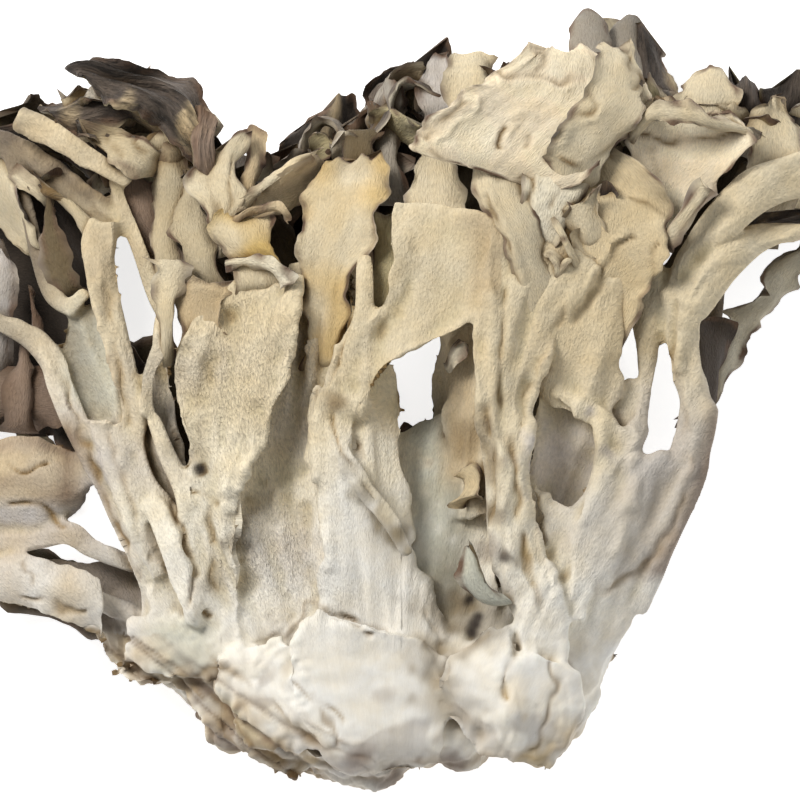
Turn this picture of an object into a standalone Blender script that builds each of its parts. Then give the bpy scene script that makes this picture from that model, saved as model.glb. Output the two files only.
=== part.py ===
"""Dried maitake cluster: one cut base, branching stalks and ruffled fronds, grown as one piece.

It lies on its back. +X runs across it, +Y from the cut base to the crown, +Z up to the pored side.
"""

import math

import bmesh
import bpy
from mathutils import Vector, noise
from mathutils.bvhtree import BVHTree

# Driving dimensions, in millimetres unless the name says otherwise
MM = 0.001
REST_HEIGHT = 5.0       # height in the layout below at which the three low spots are pressed flat
STALK_SIDES = 6
STALK_FLATNESS = 0.62   # depth of a stalk over its width
STALK_DEPTH = 7.5       # the most that a wide stalk is deep
STALK_RIBS = 0.12       # how far a stalk's lengthwise ribs stand out, over its half width
STALK_RIB_COUNT = 3
STALK_TWIST = 2.0       # radians that the ribs turn from root to tip
STALK_STEP = 12.0       # length of stalk between two rings
FROND_STEP = 9.0        # size of a cell along a frond
FROND_ACROSS = 9.0      # size of a cell across a frond
FROND_THICK = 1.5
LEATHERY_THICK = 2.0    # the thicker sheets that grow straight from the base
RUFFLE_LENGTH = 17.0    # from one wave of a frond's edge to the next
RUFFLE_START = 1.7      # radians that one more letter of its name moves a frond's ruffles on
RUFFLE_SKEW = 2.2       # radians that the ruffles at an edge are ahead of those in the middle
LOOK_AHEAD = 0.03       # share of a piece's length over which the way that it runs is taken
TIDY_ROUNDS = 12
KEPT_REACH = 1.5        # edges this near a place that would cross stay as they are
SHORTEST_EDGE = 1.0     # edges shorter than this, left where pieces meet, are closed up
FOLDED_OVER = 0.8       # a face whose facing changes by more than this cosine counts as folded
NO_AREA = 1e-11         # square metres, doubled
LUMP_ROUGHNESS = 3.4    # how far the flesh of the base rises and sinks
LUMP_GRAIN = 0.11       # waves of that flesh per millimetre
LARGE_LUMP = 25.0       # lumps with a larger half width than this get smaller cells
CUTTER_SIZE = 400.0

# Stalks, root to tip: centre x, y, z and width
STALKS = {
    "outer_left_stalk": [
        (-49, 30, 34, 6), (-50.5, 41, 36, 6), (-53, 50, 38, 6), (-57.5, 60, 38, 6), (-62, 68, 37, 5),
        (-65.5, 78, 35, 5.5), (-68.5, 86, 33, 6.5), (-72, 91, 31, 6), (-79, 95, 29, 4.5),
        (-88, 98, 26, 4)],
    "second_left_stalk": [
        (-45, 36, 38, 4.5), (-47, 48, 41, 4.5), (-51, 59, 42, 4.5), (-53, 70, 42, 5),
        (-54.5, 83, 42, 5.5), (-57.5, 95, 41, 5.5), (-59.5, 104, 40, 5.5), (-60, 114, 38, 7.5),
        (-65, 119.5, 37, 6.5), (-72, 126, 34, 5), (-80, 131, 31, 4)],
    "third_left_stalk": [
        (-39.5, 38, 42, 4), (-42.5, 48, 43.5, 4.5), (-45, 58, 44, 5), (-48, 68, 43.5, 4.5),
        (-50.3, 77, 43.5, 3.4), (-50.8, 84, 44, 3), (-48.7, 92, 43.5, 3.4), (-46.6, 100, 42.5, 4),
        (-45.2, 110, 39, 4.6)],
    "left_foot_ridge": [
        (-41, 35, 44, 4), (-42, 42, 46, 4), (-45, 50, 46, 4.5), (-50, 60, 44, 4)],
    "rolled_crown_stalk": [
        (-54, 124, 36, 4.5), (-62, 128.5, 37, 5), (-70, 133.5, 36, 5.5), (-77.5, 137, 33, 5)],
    "shaded_crown_stalk": [
        (-57.5, 115, 34, 5.5), (-65, 122, 32, 6), (-76, 129.5, 28, 6), (-86, 134, 25, 5)],
    "hole_side_stalk": [
        (-48, 97, 39, 3.2), (-50.5, 104, 38, 3.2), (-54, 114, 37, 3.2), (-58, 125, 34, 3)],
    "low_left_stalk": [
        (-53, 42, 34, 5), (-60, 48.5, 36, 4.5), (-67, 52, 37, 4.2), (-77, 51.5, 36, 4),
        (-88, 51, 33, 4)],
    "left_edge_rim": [
        (-63, 102, 38, 3.5), (-66.5, 98.5, 36, 3.2), (-69.5, 101, 34, 3.2), (-73, 110, 31, 3.2),
        (-76, 120, 30, 3.2), (-79.5, 129, 28, 3)],
    "torn_rib": [
        (2, 49, 51, 3), (-3, 57.5, 52, 4), (-9.5, 66, 51, 4), (-13, 73, 49, 4.2), (-14, 80, 46, 4.5)],
    "slit_stalk": [
        (-6, 54, 46, 4), (-6.5, 66, 47, 4), (-6.3, 80, 47, 4)],
    "middle_tube": [
        (-12.5, 78, 48, 5.5), (-11, 88, 49, 5), (-7.5, 97, 49, 5), (-7, 105, 49, 4.8),
        (-7.2, 109, 48, 4)],
    "main_right_stalk": [
        (28, 24, 44, 10), (28, 36, 47, 11), (24.5, 46, 48, 11.5), (22, 56, 49, 11), (21, 66, 50, 10),
        (20.5, 77, 50, 11), (22, 88, 49, 14), (25, 98, 48, 17), (28, 107, 47, 20)],
    "bright_stalk": [
        (26.5, 95, 51, 8), (25.5, 104, 52, 8.5), (24, 112, 52.5, 8), (23, 118, 52, 8),
        (20.5, 125, 50, 8)],
    "thin_right_stalk": [
        (44, 63, 45, 4), (46, 71, 43, 4), (48.5, 79, 41, 3.4), (49.5, 87, 40, 3.6), (49.5, 95, 42, 4.8),
        (50, 103, 42, 6), (49.5, 112, 42, 6)],
    "right_trunk": [
        (46, 38, 37, 7), (50.5, 49, 40, 7.5), (55, 60, 41, 8), (58.5, 70, 41, 7), (59, 78, 41, 6.5),
        (57.5, 87, 42, 6), (56.5, 95, 43, 7), (55.5, 103, 44, 8)],
    "upper_right_arm": [
        (56, 95, 43, 6.5), (59, 109, 45, 6), (64, 117, 46, 6.5), (70, 121, 44, 7), (78, 124, 42, 7.5),
        (87, 126, 38, 7)],
    "lower_right_arm": [
        (56.5, 97, 44, 6), (61.5, 103.5, 44, 6), (67, 109, 43, 5), (75, 113.5, 41, 4),
        (87, 114.5, 37, 3.5)],
    "short_right_stalk": [
        (50, 64, 40, 5), (43.5, 73, 45, 4.5), (38, 77.5, 46, 4.5), (31, 82.5, 46, 4)],
    "white_twig": [
        (34, 107, 49, 2.4), (32, 112, 53, 2.2), (30, 116.5, 53, 2)],
    "thin_rib": [
        (34, 98, 49, 3), (40, 107, 50, 3), (45.5, 114.5, 48, 3)],
    "feather_rib": [
        (-36, 114, 44, 3.4), (-30, 120.5, 44, 3), (-24, 124.5, 43, 2.6), (-13, 131, 40, 2.2)],
    "feather_twig": [
        (-36.5, 113.5, 44, 3), (-30, 118, 47, 2.4), (-24, 118, 47, 2.4), (-22, 114.5, 46, 2.4)],
    "inner_left_stalk": [
        (-22, 36, 24, 8), (-28, 56, 20, 7), (-34, 80, 16, 6.5), (-42, 100, 14, 6), (-56, 122, 16, 5),
        (-68, 132, 20, 4.5)],
    "inner_low_left_stalk": [
        (-30, 34, 24, 8), (-42, 48, 18, 6), (-56, 70, 14, 5.5), (-72, 86, 14, 5), (-84, 96, 16, 4)],
    "inner_middle_stalk": [
        (-8, 38, 18, 8), (-12, 60, 16, 7), (-16, 84, 14, 6.5), (-14, 106, 16, 6), (-10, 124, 22, 5),
        (-9, 134, 28, 4)],
    "inner_right_stalk": [
        (16, 36, 20, 8), (20, 58, 18, 7), (24, 82, 16, 7), (28, 106, 18, 6.5), (30, 126, 26, 6),
        (32, 140, 34, 5)],
    "inner_far_right_stalk": [
        (34, 36, 24, 7), (44, 52, 20, 6), (58, 68, 20, 5.5), (62, 86, 18, 5), (64, 106, 16, 5),
        (72, 128, 20, 4.5)],
    "rolled_edge": [
        (-37, 107, 46, 3), (-31, 107.7, 49, 3), (-26, 106.2, 49, 3), (-21, 103.5, 47, 3)],
}

# Fronds and webs, root to tip: left edge x, y, z and right edge x, y, z; then how far the middle stands
# proud of the edges, how far the tip is rounded, the height of the edge waves and the thickness
FRONDS = {
    "left_web": ([
        (-61, 70, 33, -56, 70, 36), (-65, 79, 32, -55, 80, 36), (-68, 89, 31, -56, 91, 36),
        (-67, 98, 31, -59, 99, 36)], -2, 1, 0.4, FROND_THICK),
    "left_edge_sheet": ([
        (-72, 94, 28, -67, 98, 34), (-80, 106, 24, -72, 107, 32), (-87, 118, 21, -74.5, 118, 30),
        (-90, 128, 18, -78, 128, 28)], -2, 3, 1.2, FROND_THICK),
    "left_leaf": ([
        (-67, 98, 36, -64, 101, 37), (-70.5, 106, 38, -67, 107, 38), (-73, 114, 37, -69, 114.5, 37),
        (-73, 120, 35, -70, 120, 34)], 1, 1, 0.5, FROND_THICK),
    "third_stalk_wall": ([
        (-45, 34, 40, -39, 34, 42), (-47, 44, 39, -41, 44, 42), (-51.5, 56, 38, -45, 57, 41),
        (-54, 66, 39, -46, 67, 42), (-53.5, 78, 39, -48, 78, 42)], -2, -1, 0.6, FROND_THICK),
    "wide_left_strap": ([
        (-49, 100, 38, -43.5, 101, 39), (-50, 113, 36, -43.5, 113, 39), (-50, 124, 34, -42, 122, 37),
        (-48.5, 134, 31, -43.5, 130, 34)], 1.5, 1, 0.8, FROND_THICK),
    "leaning_strap": ([
        (-42, 99, 42, -33, 102, 44), (-44, 108, 41, -36, 110, 43), (-46, 116, 39, -38, 117, 41),
        (-45, 122.5, 36, -38, 122, 38)], 1, 1, 0.9, FROND_THICK),
    "lobed_frond": ([
        (-47.5, 124, 37, -46, 129, 37), (-52.5, 126, 40, -50, 133.5, 38),
        (-57, 127.5, 40, -55, 135, 37), (-62, 130.5, 37, -61, 134, 35)], -1.5, 1, 1, FROND_THICK),
    "dark_front_cap": ([
        (-43, 118, 37, -36, 120, 37), (-41, 125, 37, -35, 130, 35), (-45.5, 130.5, 39, -37.5, 137, 36),
        (-50, 135.5, 40, -41, 144, 37), (-55, 138.5, 40, -49, 147, 37), (-60, 141, 38, -57, 146.5, 35),
        (-65, 143, 35, -65, 147, 33)], 1.5, 1, 1.4, 1.8),
    "dark_strip": ([
        (-44, 128, 32, -42, 130, 31), (-52, 134.5, 33, -50, 138.5, 32), (-58, 136, 32, -58, 142, 29),
        (-66, 134.5, 30, -66, 141, 27), (-72, 136.5, 27, -73, 140, 24)], 1, 1, 1, FROND_THICK),
    "dark_corner": ([
        (-68, 128, 27, -66, 133, 27), (-76, 127.5, 25, -74, 134.5, 24),
        (-85, 128, 21, -84, 136, 20)], 1, 2, 1, FROND_THICK),
    "serrated_fan": ([
        (-37, 108, 42, -33, 109, 43), (-38, 115, 43, -33, 116, 44), (-40.5, 121, 42, -32, 122, 43),
        (-39, 128, 39, -31.5, 129, 41)], 1.5, 3, 1.2, FROND_THICK),
    "serrated_fan_lobe": ([
        (-35, 112, 42, -31, 112, 42), (-34, 120, 41, -29, 120, 41), (-32, 127, 39, -27.5, 126, 38),
        (-30.5, 133, 36, -28.5, 132, 35)], 1, 1, 1, FROND_THICK),
    "feather_membrane": ([
        (-36, 114, 43, -33, 110, 38), (-30, 120, 43, -28, 116, 36), (-24, 124.5, 42, -20, 118, 35),
        (-14, 130.5, 39, -12, 125, 33)], -1, 1, 1, FROND_THICK),
    "stained_frond": ([
        (-32, 99, 45, -20, 100, 45), (-34, 107, 46, -21, 107, 46), (-37, 112.5, 46, -24, 112, 46),
        (-34, 117, 44, -27, 117, 43)], 1, 1, 1, FROND_THICK),
    "left_big_sheet": ([
        (-36, 28, 42, -32, 28, 42), (-36.5, 40, 46, -32, 40, 46), (-38, 52, 47, -32.5, 52, 48),
        (-43.5, 64, 46, -31, 63, 50), (-44, 74, 46, -27, 72, 51), (-46, 83, 45, -22.5, 84, 51),
        (-43, 94, 45, -20, 94, 49), (-33.5, 104, 44, -19.5, 105, 46)], -1.5, 0, 0.8, LEATHERY_THICK),
    "tan_sheet": ([
        (-42, 86, 44, -34, 88, 44), (-45, 99, 38, -35, 100, 40),
        (-44, 106, 36, -33, 105, 38)], 1, 1, 0.8, FROND_THICK),
    "olive_sheet": ([
        (-34, 50, 41, -14, 52, 41), (-33, 62, 42, -15, 64, 42), (-31, 72, 43, -15, 72, 42),
        (-26, 84, 44, -16, 84, 42), (-23, 95, 42, -16, 95, 42)], -2, 1, 0.6, LEATHERY_THICK),
    "middle_trough": ([
        (-20, 74, 42, -12, 74, 45), (-19, 87, 44, -11.5, 87, 46), (-18, 97, 44, -9, 97, 46),
        (-18, 108, 42, -9.5, 108, 44)], -1.5, 1, 0.6, FROND_THICK),
    "cream_middle_sheet": ([
        (-15, 28, 44, -6.5, 28, 46), (-15, 43, 47, -6.5, 44, 50), (-17, 58, 48, -8, 59, 50),
        (-18, 70, 46, -8.5, 70, 49), (-17.5, 81, 44, -9, 81, 48)], -1.5, 0, 0.8, LEATHERY_THICK),
    "pink_web": ([
        (-6, 50, 44, 3, 50, 38), (-6, 64, 45, 1, 64, 38), (-6, 78, 46, 0, 77, 40),
        (-5, 88, 49, -1, 87, 45)], -0.5, 1, 0.5, FROND_THICK),
    "tongue_sheet": ([
        (-14, 76, 47, -7, 77, 49), (-12.5, 84, 49, -3.5, 85, 52), (-9.5, 91, 50, 1, 90.5, 53),
        (-5, 98, 51, 11, 97, 54), (-2.5, 105, 52, 15.5, 104, 54), (-2.5, 112, 52, 17, 111, 54),
        (-1.5, 120, 49, 18, 117.5, 52)], -1.8, 0, 0.8, LEATHERY_THICK),
    "behind_tongue": ([
        (2, 98, 49, 12, 98, 50), (1, 109, 45, 13, 109, 46), (1, 119, 43, 12, 119, 44),
        (3, 129, 41, 10, 129, 41)], 0, 1, 0.6, FROND_THICK),
    "shaded_frond": ([
        (-8, 94, 48, -3, 94, 49), (-7, 101, 44, -2, 101, 44), (-7, 107, 42, -1, 107, 42),
        (-6, 118, 41, 2, 118, 41), (-3, 128, 39, 3, 130, 39)], 1, 1, 0.8, FROND_THICK),
    "ochre_frond": ([
        (-19, 99, 43, -12, 99, 45), (-20.5, 108, 44, -9.5, 108, 47), (-21, 115, 43, -4.5, 115, 47),
        (-18.5, 121, 41, -3.5, 122, 46), (-15, 128, 38, -5, 130, 41)], 1.5, 1, 1, FROND_THICK),
    "brown_rolled_frond": ([
        (-12, 122, 34, -4, 122, 36), (-13, 130, 33, -3.5, 130, 35),
        (-12, 134.5, 31, -3, 135, 32)], 2, 1, 1, FROND_THICK),
    "grey_middle_frond": ([
        (-6, 120, 33, 2, 120, 33), (-6.5, 130, 31, 1, 130, 31),
        (-5, 137, 28, 0, 138, 28)], 1, 1, 0.8, FROND_THICK),
    "left_arch": ([
        (-19, 122, 32, -17, 122, 20), (-20.5, 129, 31, -18, 129, 18), (-19, 134.5, 29, -17, 133.5, 17),
        (-15.5, 137, 28, -15, 135.5, 16), (-11, 134, 28, -12, 132, 16)], 0, 0, 0.6, FROND_THICK),
    "middle_arch": ([
        (-6, 130, 31, -4, 131, 16), (-5.5, 140, 29, -4, 139.5, 15), (-2.5, 145, 27, -2, 143.5, 15),
        (4, 146.5, 25, 4, 144.5, 14)], 0, 0, 0.6, FROND_THICK),
    "middle_inner_arch": ([
        (-4, 132, 35, -2.5, 133, 20), (-1.5, 142, 34, 0, 141, 19), (3, 144, 34, 3, 142.5, 18),
        (11, 141, 33, 10.5, 139.5, 18)], 0, 0, 0.6, FROND_THICK),
    "white_grey_frond": ([
        (4, 130, 37, 12, 130, 38), (4, 139, 35, 12, 138, 37),
        (4, 150, 28, 11, 150, 29)], -1, 1, 1, FROND_THICK),
    "cream_lobe": ([
        (10, 132, 42, 18, 132, 43), (9.5, 143, 39, 19.5, 143, 41),
        (10, 150.5, 34, 19, 150.5, 35)], 1, 2.5, 1, FROND_THICK),
    "biggest_frond": ([
        (16, 121, 50, 26, 122, 51), (9, 126, 53, 35, 128, 53), (3.5, 131.5, 54, 42, 132.5, 53),
        (8, 137.5, 53, 48.5, 138, 50), (15, 142.5, 51, 51, 142, 47), (21, 148.5, 47, 48, 149.5, 43),
        (27, 151, 43, 43, 152.5, 39)], -2, 0.5, 1.5, FROND_THICK),
    "inner_lobe": ([
        (32, 124, 53, 38, 124, 53), (31, 132, 55.5, 42, 131, 55),
        (35, 138.5, 54.5, 46, 136.5, 52)], 1, 1.5, 0.8, FROND_THICK),
    "grey_top_frond": ([
        (34, 138, 32, 44, 138, 32), (33.5, 150, 25, 43.5, 150, 25),
        (35, 158, 20, 42, 158, 20)], -1.5, 1, 1.2, FROND_THICK),
    "grey_top_frond_right": ([
        (42, 136, 30, 52, 136, 30), (41.5, 148, 23, 52, 148, 22),
        (43, 157, 17, 50, 156, 16)], -1.5, 1, 1.2, FROND_THICK),
    "dark_top_cap": ([
        (46, 134, 24, 56, 132, 26), (46, 144, 19, 56, 143, 20),
        (46, 153.5, 14, 54.5, 150.5, 15)], 1.5, 1, 1.2, FROND_THICK),
    "cream_twin_lobe": ([
        (54, 126, 46, 66, 126, 46), (55, 135, 44, 67, 134, 44), (55, 141, 39, 67.5, 140, 40),
        (57, 146, 34, 66.5, 146, 35)], 1, 0.5, 1.2, FROND_THICK),
    "right_crown_leaf": ([
        (68, 118, 43, 79, 119, 41), (69, 125, 42, 79, 125, 40), (70.5, 132, 38, 79.5, 131, 36),
        (72, 140, 34, 84, 140, 30), (73, 145, 30, 86, 146, 26)], 1.5, 1, 1.4, FROND_THICK),
    "right_bowl": ([
        (49, 112, 43, 57, 112, 45), (45.5, 120, 46, 60, 120, 47), (44.5, 127, 49, 67, 126, 48),
        (45.5, 133, 51, 71, 132, 46), (50, 138.5, 51, 67, 136, 46)], -3.5, 1.5, 1.2, FROND_THICK),
    "curled_leaf": ([
        (32, 103, 48, 38, 102, 49), (33, 110, 50.5, 40.5, 109, 50),
        (35, 116, 49, 41, 116, 48)], 1.5, 1, 1, FROND_THICK),
    "ochre_right_sheet": ([
        (30, 101, 46, 40, 101, 46), (31, 119, 47, 41.5, 118, 47),
        (35, 130, 46, 42, 130, 46)], 1, 1, 1.2, FROND_THICK),
    "yellow_right_sheet": ([
        (45, 100, 40, 53, 100, 41), (44, 110, 41, 54, 110, 42),
        (45, 121, 43, 54, 120, 44)], 0, 1, 0.8, FROND_THICK),
    "right_smooth_sheet": ([
        (33, 70, 42, 42, 70, 42), (31, 83, 44, 45, 83, 43), (32, 94, 46, 44.5, 93, 45),
        (36, 106, 47, 47, 105, 45)], 2, 0, 0.8, LEATHERY_THICK),
    "grey_strip": ([
        (15, 94, 47, 21, 94, 48), (16, 104, 47, 21, 104, 48),
        (17, 114, 46, 21, 113, 47)], 0, 1, 0.5, FROND_THICK),
    "back_wall": ([
        (-3, 34, 38, 21, 34, 38), (-2, 50, 38, 19, 50, 40), (-0.5, 64, 37, 17, 64, 39),
        (2, 75, 34, 14, 77, 36)], -2, 1, 0.8, LEATHERY_THICK),
    "dark_back_stalk": ([
        (4, 60, 24, 12, 60, 25), (5.5, 74, 25, 13, 74, 29), (6.5, 85, 27, 14, 85, 36),
        (7, 96, 30, 16, 96, 45)], 0, 0, 0.6, FROND_THICK),
    "tan_flank": ([
        (11, 56, 42, 20, 57, 48), (9.5, 68, 41, 18.5, 69, 49), (9.5, 80, 41, 18, 80, 49),
        (10.5, 92, 40, 18, 92, 49)], 1, 1, 0.8, FROND_THICK),
    "small_curled_leaf": ([
        (10, 53, 44, 19, 54, 47), (9.5, 61, 46, 17, 61, 48),
        (10.5, 68, 45, 15, 67.5, 47)], 1.5, 1, 0.8, FROND_THICK),
    "grey_green_leaf": ([
        (16, 34, 49, 25, 34, 49), (12.5, 42, 51, 21.5, 41.5, 51),
        (12.5, 51, 50, 17, 49, 51)], 1, 1, 0.6, FROND_THICK),
    "right_outer_wall": ([
        (29, 34, 44, 46, 37, 35), (33, 47, 47, 51, 47, 36), (35, 58, 47, 56, 57, 37),
        (40, 68, 45, 60, 67, 38)], 3.5, 1, 0.8, LEATHERY_THICK),
    "pouch_leaf": ([
        (36, 58, 42, 43, 59, 44), (36.5, 67, 42, 43, 67, 45),
        (38, 75, 43, 42, 75, 45)], 1, 1, 0.6, FROND_THICK),
    "pouch_wall": ([
        (26, 34, 41, 40, 34, 41), (26, 48, 42, 42, 48, 41), (26, 62, 41, 42, 62, 41),
        (27, 74, 42, 41, 75, 42), (28, 84, 45, 39, 84, 44)], -3, 1, 0.6, FROND_THICK),
    "thin_stalk_web": ([
        (42, 70, 38, 49, 70, 39), (41.5, 78, 38, 49, 78, 39),
        (42.5, 86, 38, 48, 84, 39)], 0, 1, 0.8, FROND_THICK),
    "charcoal_frond": ([
        (57, 76, 40, 62.5, 77, 36), (57.5, 86, 40, 65.5, 86, 33),
        (58.5, 96, 35, 67.5, 95, 28)], 1, 2, 1, FROND_THICK),
    "pale_ragged_frond": ([
        (58, 76, 39, 63, 76, 37), (61, 86, 32, 67, 86, 29), (65, 95, 27, 71, 93, 24),
        (71, 101, 22, 77, 100, 19), (74, 107, 24, 82, 108, 20),
        (84, 116, 22, 89, 111, 18)], 0.5, 1, 1, FROND_THICK),
    "dark_right_frond": ([
        (60, 110, 43, 62, 104, 43), (66, 114, 39, 69, 110, 40), (74, 119, 34, 75, 112, 33),
        (88, 123, 28, 88, 113, 28)], 0, 1, 1, FROND_THICK),
    "low_left_roll": ([
        (-58, 58, 32, -58, 68, 32), (-66.5, 57, 32, -65.5, 70, 32), (-76, 54, 35, -76, 73, 34),
        (-90, 56, 30, -90, 70, 29)], 4.5, 2, 1, LEATHERY_THICK),
    "low_left_sheet": ([
        (-59.5, 31.5, 38, -60, 45, 40), (-65, 34, 39, -65, 47, 40.5), (-70, 36, 39, -70, 48, 40),
        (-77, 38.5, 37, -77, 49.5, 38), (-90, 41, 33, -90, 49, 34)], 2, 1, 0.8, LEATHERY_THICK),
    "cavity_floor": ([
        (-46, 30, 31, -48, 48, 31), (-56, 31, 30, -57, 48, 31), (-66, 35, 31, -66, 48, 32),
        (-76, 40, 31, -76, 49, 32)], -1.5, 0, 0.5, LEATHERY_THICK),
    "white_shelf": ([
        (-30, 22, 43, -30, 37, 45), (-40, 22, 44, -40, 37, 46), (-49, 24, 42, -49, 36, 44),
        (-56, 27, 38, -56, 34, 39)], 1, 1, 1, 2.6),
    "white_plate": ([
        (-11, 6, 44, 6, 5, 44), (-18, 13, 50, 9, 13, 52), (-22, 22, 52, 10, 22, 55),
        (-22.5, 31, 51, 7, 30, 55), (-18.5, 39.5, 48, -2, 38, 51)], 0.6, 0, 1, 3.4),
    "ragged_left_plate": ([
        (-31, 12, 43, -19, 11, 45), (-36, 21, 45, -22, 21, 47),
        (-34, 31.5, 44, -23, 32, 46)], 0.5, 0, 1.2, 2.6),
    "right_lump_plate": ([
        (15, 8, 44, 34, 8, 41), (9.5, 18, 50, 37.5, 18, 43), (8.5, 26, 52, 35, 26, 45),
        (13.5, 32, 51, 29, 31, 48), (17, 36, 48, 22, 36, 48)], 1, 0, 1, 2.8),
    "cut_end_left": ([
        (-50, 22, 18, -26, 12, 16), (-54, 21, 29, -27, 7, 28),
        (-52, 21, 40, -28, 9, 42)], 2.5, 2, 1.4, 2.4),
    "cut_end_middle": ([
        (-32, 11, 14, -2, 6, 12), (-33, 7, 28, -2, 2, 28), (-30, 9, 43, -4, 3, 42)], 2, 2, 1.6, 2.4),
    "cut_end_right": ([
        (-6, 7, 12, 28, 8, 14), (-6, 2, 27, 32, 5, 28), (-2, 3, 41, 28, 5, 40)], 2, 2, 1.6, 2.4),
    "cut_end_corner": ([
        (28, 9, 16, 44, 24, 18), (31, 7, 28, 47, 26, 30), (30, 9, 39, 42, 24, 40)], 2, 2, 1.2, 2.4),
    "back_crown_left": ([
        (-24, 96, 20, -22, 112, 20), (-36, 106, 14, -32, 126, 14), (-54, 116, 10, -50, 138, 10),
        (-70, 122, 9, -66, 143, 8), (-84, 128, 12, -80, 142, 11)], -2, 3, 2, FROND_THICK),
    "back_left": ([
        (-16, 46, 18, -12, 62, 18), (-30, 58, 15, -27, 74, 15), (-46, 65, 12, -42, 89, 12),
        (-60, 70, 10, -57, 93, 10), (-74, 76, 9, -72, 104, 9),
        (-88, 82, 12, -88, 110, 11)], -2, 3, 2, FROND_THICK),
    "back_low_left": ([
        (-30, 24, 20, -30, 40, 20), (-48, 26, 14, -48, 44, 14), (-64, 32, 10, -64, 46, 9),
        (-86, 40, 9, -86, 60, 8)], 2, 3, 1.4, FROND_THICK),
    "back_centre": ([
        (-18, 36, 18, 22, 36, 18), (-25, 48, 13, 28, 48, 13), (-27, 60, 10, 28, 60, 10),
        (-21, 72, 9, 20, 71, 9)], -2, 2, 2, FROND_THICK),
    "back_upper_left": ([
        (-22, 66, 16, -9, 66, 16), (-30, 80, 12, -5.5, 82, 12), (-36, 94, 9, -4, 97, 10),
        (-38, 110, 7.5, 0, 112, 9), (-34, 124, 9, 4, 124, 10)], -2, 3, 2, FROND_THICK),
    "back_upper_right": ([
        (13, 64, 16, 26, 64, 16), (10, 80, 12, 38, 80, 12), (8, 96, 10, 42, 98, 9),
        (6, 112, 9, 47, 112, 7.5), (10, 126, 10, 48, 126, 9)], -2, 3, 2, FROND_THICK),
    "back_right": ([
        (30, 40, 17, 44, 40, 19), (35, 52, 12, 54, 51, 14),
        (38, 65, 10, 60, 62, 12)], 2, 3, 1.4, FROND_THICK),
    "back_far_right": ([
        (50, 100, 20, 60, 92, 20), (54, 112, 14, 66, 106, 14), (60, 124, 9, 82, 116, 9),
        (66, 138, 9, 90, 128, 9)], 2, 3, 1.6, FROND_THICK),
    "crown_behind_biggest": ([
        (12, 120, 8, 38, 118, 8), (8, 134, 14, 40, 132, 14), (9, 143, 26, 40, 144, 26),
        (14, 143, 38, 38, 145, 37)], -2, 1, 1.6, FROND_THICK),
    "crown_behind_right": ([
        (38, 116, 8, 56, 114, 8), (38, 130, 12, 60, 126, 12), (40, 141, 22, 62, 138, 22),
        (42, 142, 34, 60, 138, 34)], -2, 1, 1.6, FROND_THICK),
    "crown_behind_middle": ([
        (-14, 114, 7, 8, 114, 7), (-16, 127, 11, 10, 129, 11),
        (-14, 134, 22, 10, 138, 22)], -1, 1, 1.6, FROND_THICK),
    "crown_silhouette_left": ([
        (-18, 116, 14, -6, 118, 14), (-26, 126, 11, -6, 130, 11),
        (-24, 133, 10, -8, 141, 9)], 1, 1, 1.4, FROND_THICK),
    "crown_silhouette": ([
        (-8, 122, 14, 10, 122, 14), (-10, 136, 11, 12, 138, 11),
        (-3, 145, 9, 9, 151, 8)], 1, 1, 1.4, FROND_THICK),
    "crown_behind_left": ([
        (-46, 112, 8, -24, 110, 8), (-46, 124, 13, -20, 122, 13),
        (-44, 129, 25, -22, 129, 24)], -1, 1, 1.6, FROND_THICK),
    "crown_far_left": ([
        (-66, 118, 7, -50, 116, 7), (-70, 130, 12, -48, 132, 12), (-70, 138, 22, -48, 142, 22),
        (-64, 138, 32, -48, 141, 33)], -1, 1, 1.6, FROND_THICK),
    "back_cap_left": ([
        (-26, 44, 14, -14, 50, 14), (-38, 50, 9.5, -26, 70, 9.5), (-52, 58, 8.5, -44, 82, 8.5),
        (-62, 70, 10, -58, 84, 10)], -2, 3, 2, FROND_THICK),
    "back_cap_low": ([
        (-20, 22, 13, -18, 40, 13), (-34, 20, 9, -32, 46, 9),
        (-46, 26, 9, -44, 44, 9)], -2, 3, 2, FROND_THICK),
    "back_cap_middle": ([
        (-16, 62, 11, 10, 62, 11), (-20, 74, 8.5, -4, 72, 9), (-22, 88, 8, -6, 86, 8.5),
        (-18, 98, 9, -8, 98, 9)], -2, 3, 2, FROND_THICK),
    "back_cap_right": ([
        (10, 60, 12, 28, 56, 12), (14, 74, 8.5, 38, 70, 9), (20, 88, 8, 40, 84, 8.5),
        (24, 98, 9, 38, 96, 9)], -2, 3, 2, FROND_THICK),
    "crown_far_right": ([
        (60, 114, 9, 76, 112, 9), (60, 128, 12, 84, 124, 12), (62, 138, 22, 84, 136, 20),
        (62, 140, 33, 80, 139, 28)], -1, 1, 1.6, FROND_THICK),
}

# Lumps of the cut base and the knot where two stalks part: centre x, y, z and half sizes
LUMPS = {
    "base_middle": (-6, 25, 30, 31, 20, 22),
    "base_right": (23, 24, 29, 19, 18, 20),
    "base_left": (-34, 26, 29, 19, 15, 16),
    "base_far_right": (38, 34, 29, 12, 15, 12),
    "base_back": (2, 30, 13, 20, 16, 9),
    "knot": (-11, 79, 46, 4.5, 4, 5),
    "crown_rest_left": (-40, 112, 8, 7, 6, 5),
    "crown_rest_right": (46, 112, 8, 7, 6, 5),
}


def flesh():
    material = bpy.data.materials.new("dried_flesh")
    material.use_nodes = True
    shader = material.node_tree.nodes["Principled BSDF"]
    shader.inputs["Base Color"].default_value = (0.55, 0.49, 0.36, 1)
    shader.inputs["Roughness"].default_value = 0.85
    shader.inputs["Metallic"].default_value = 0.0
    return material


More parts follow.
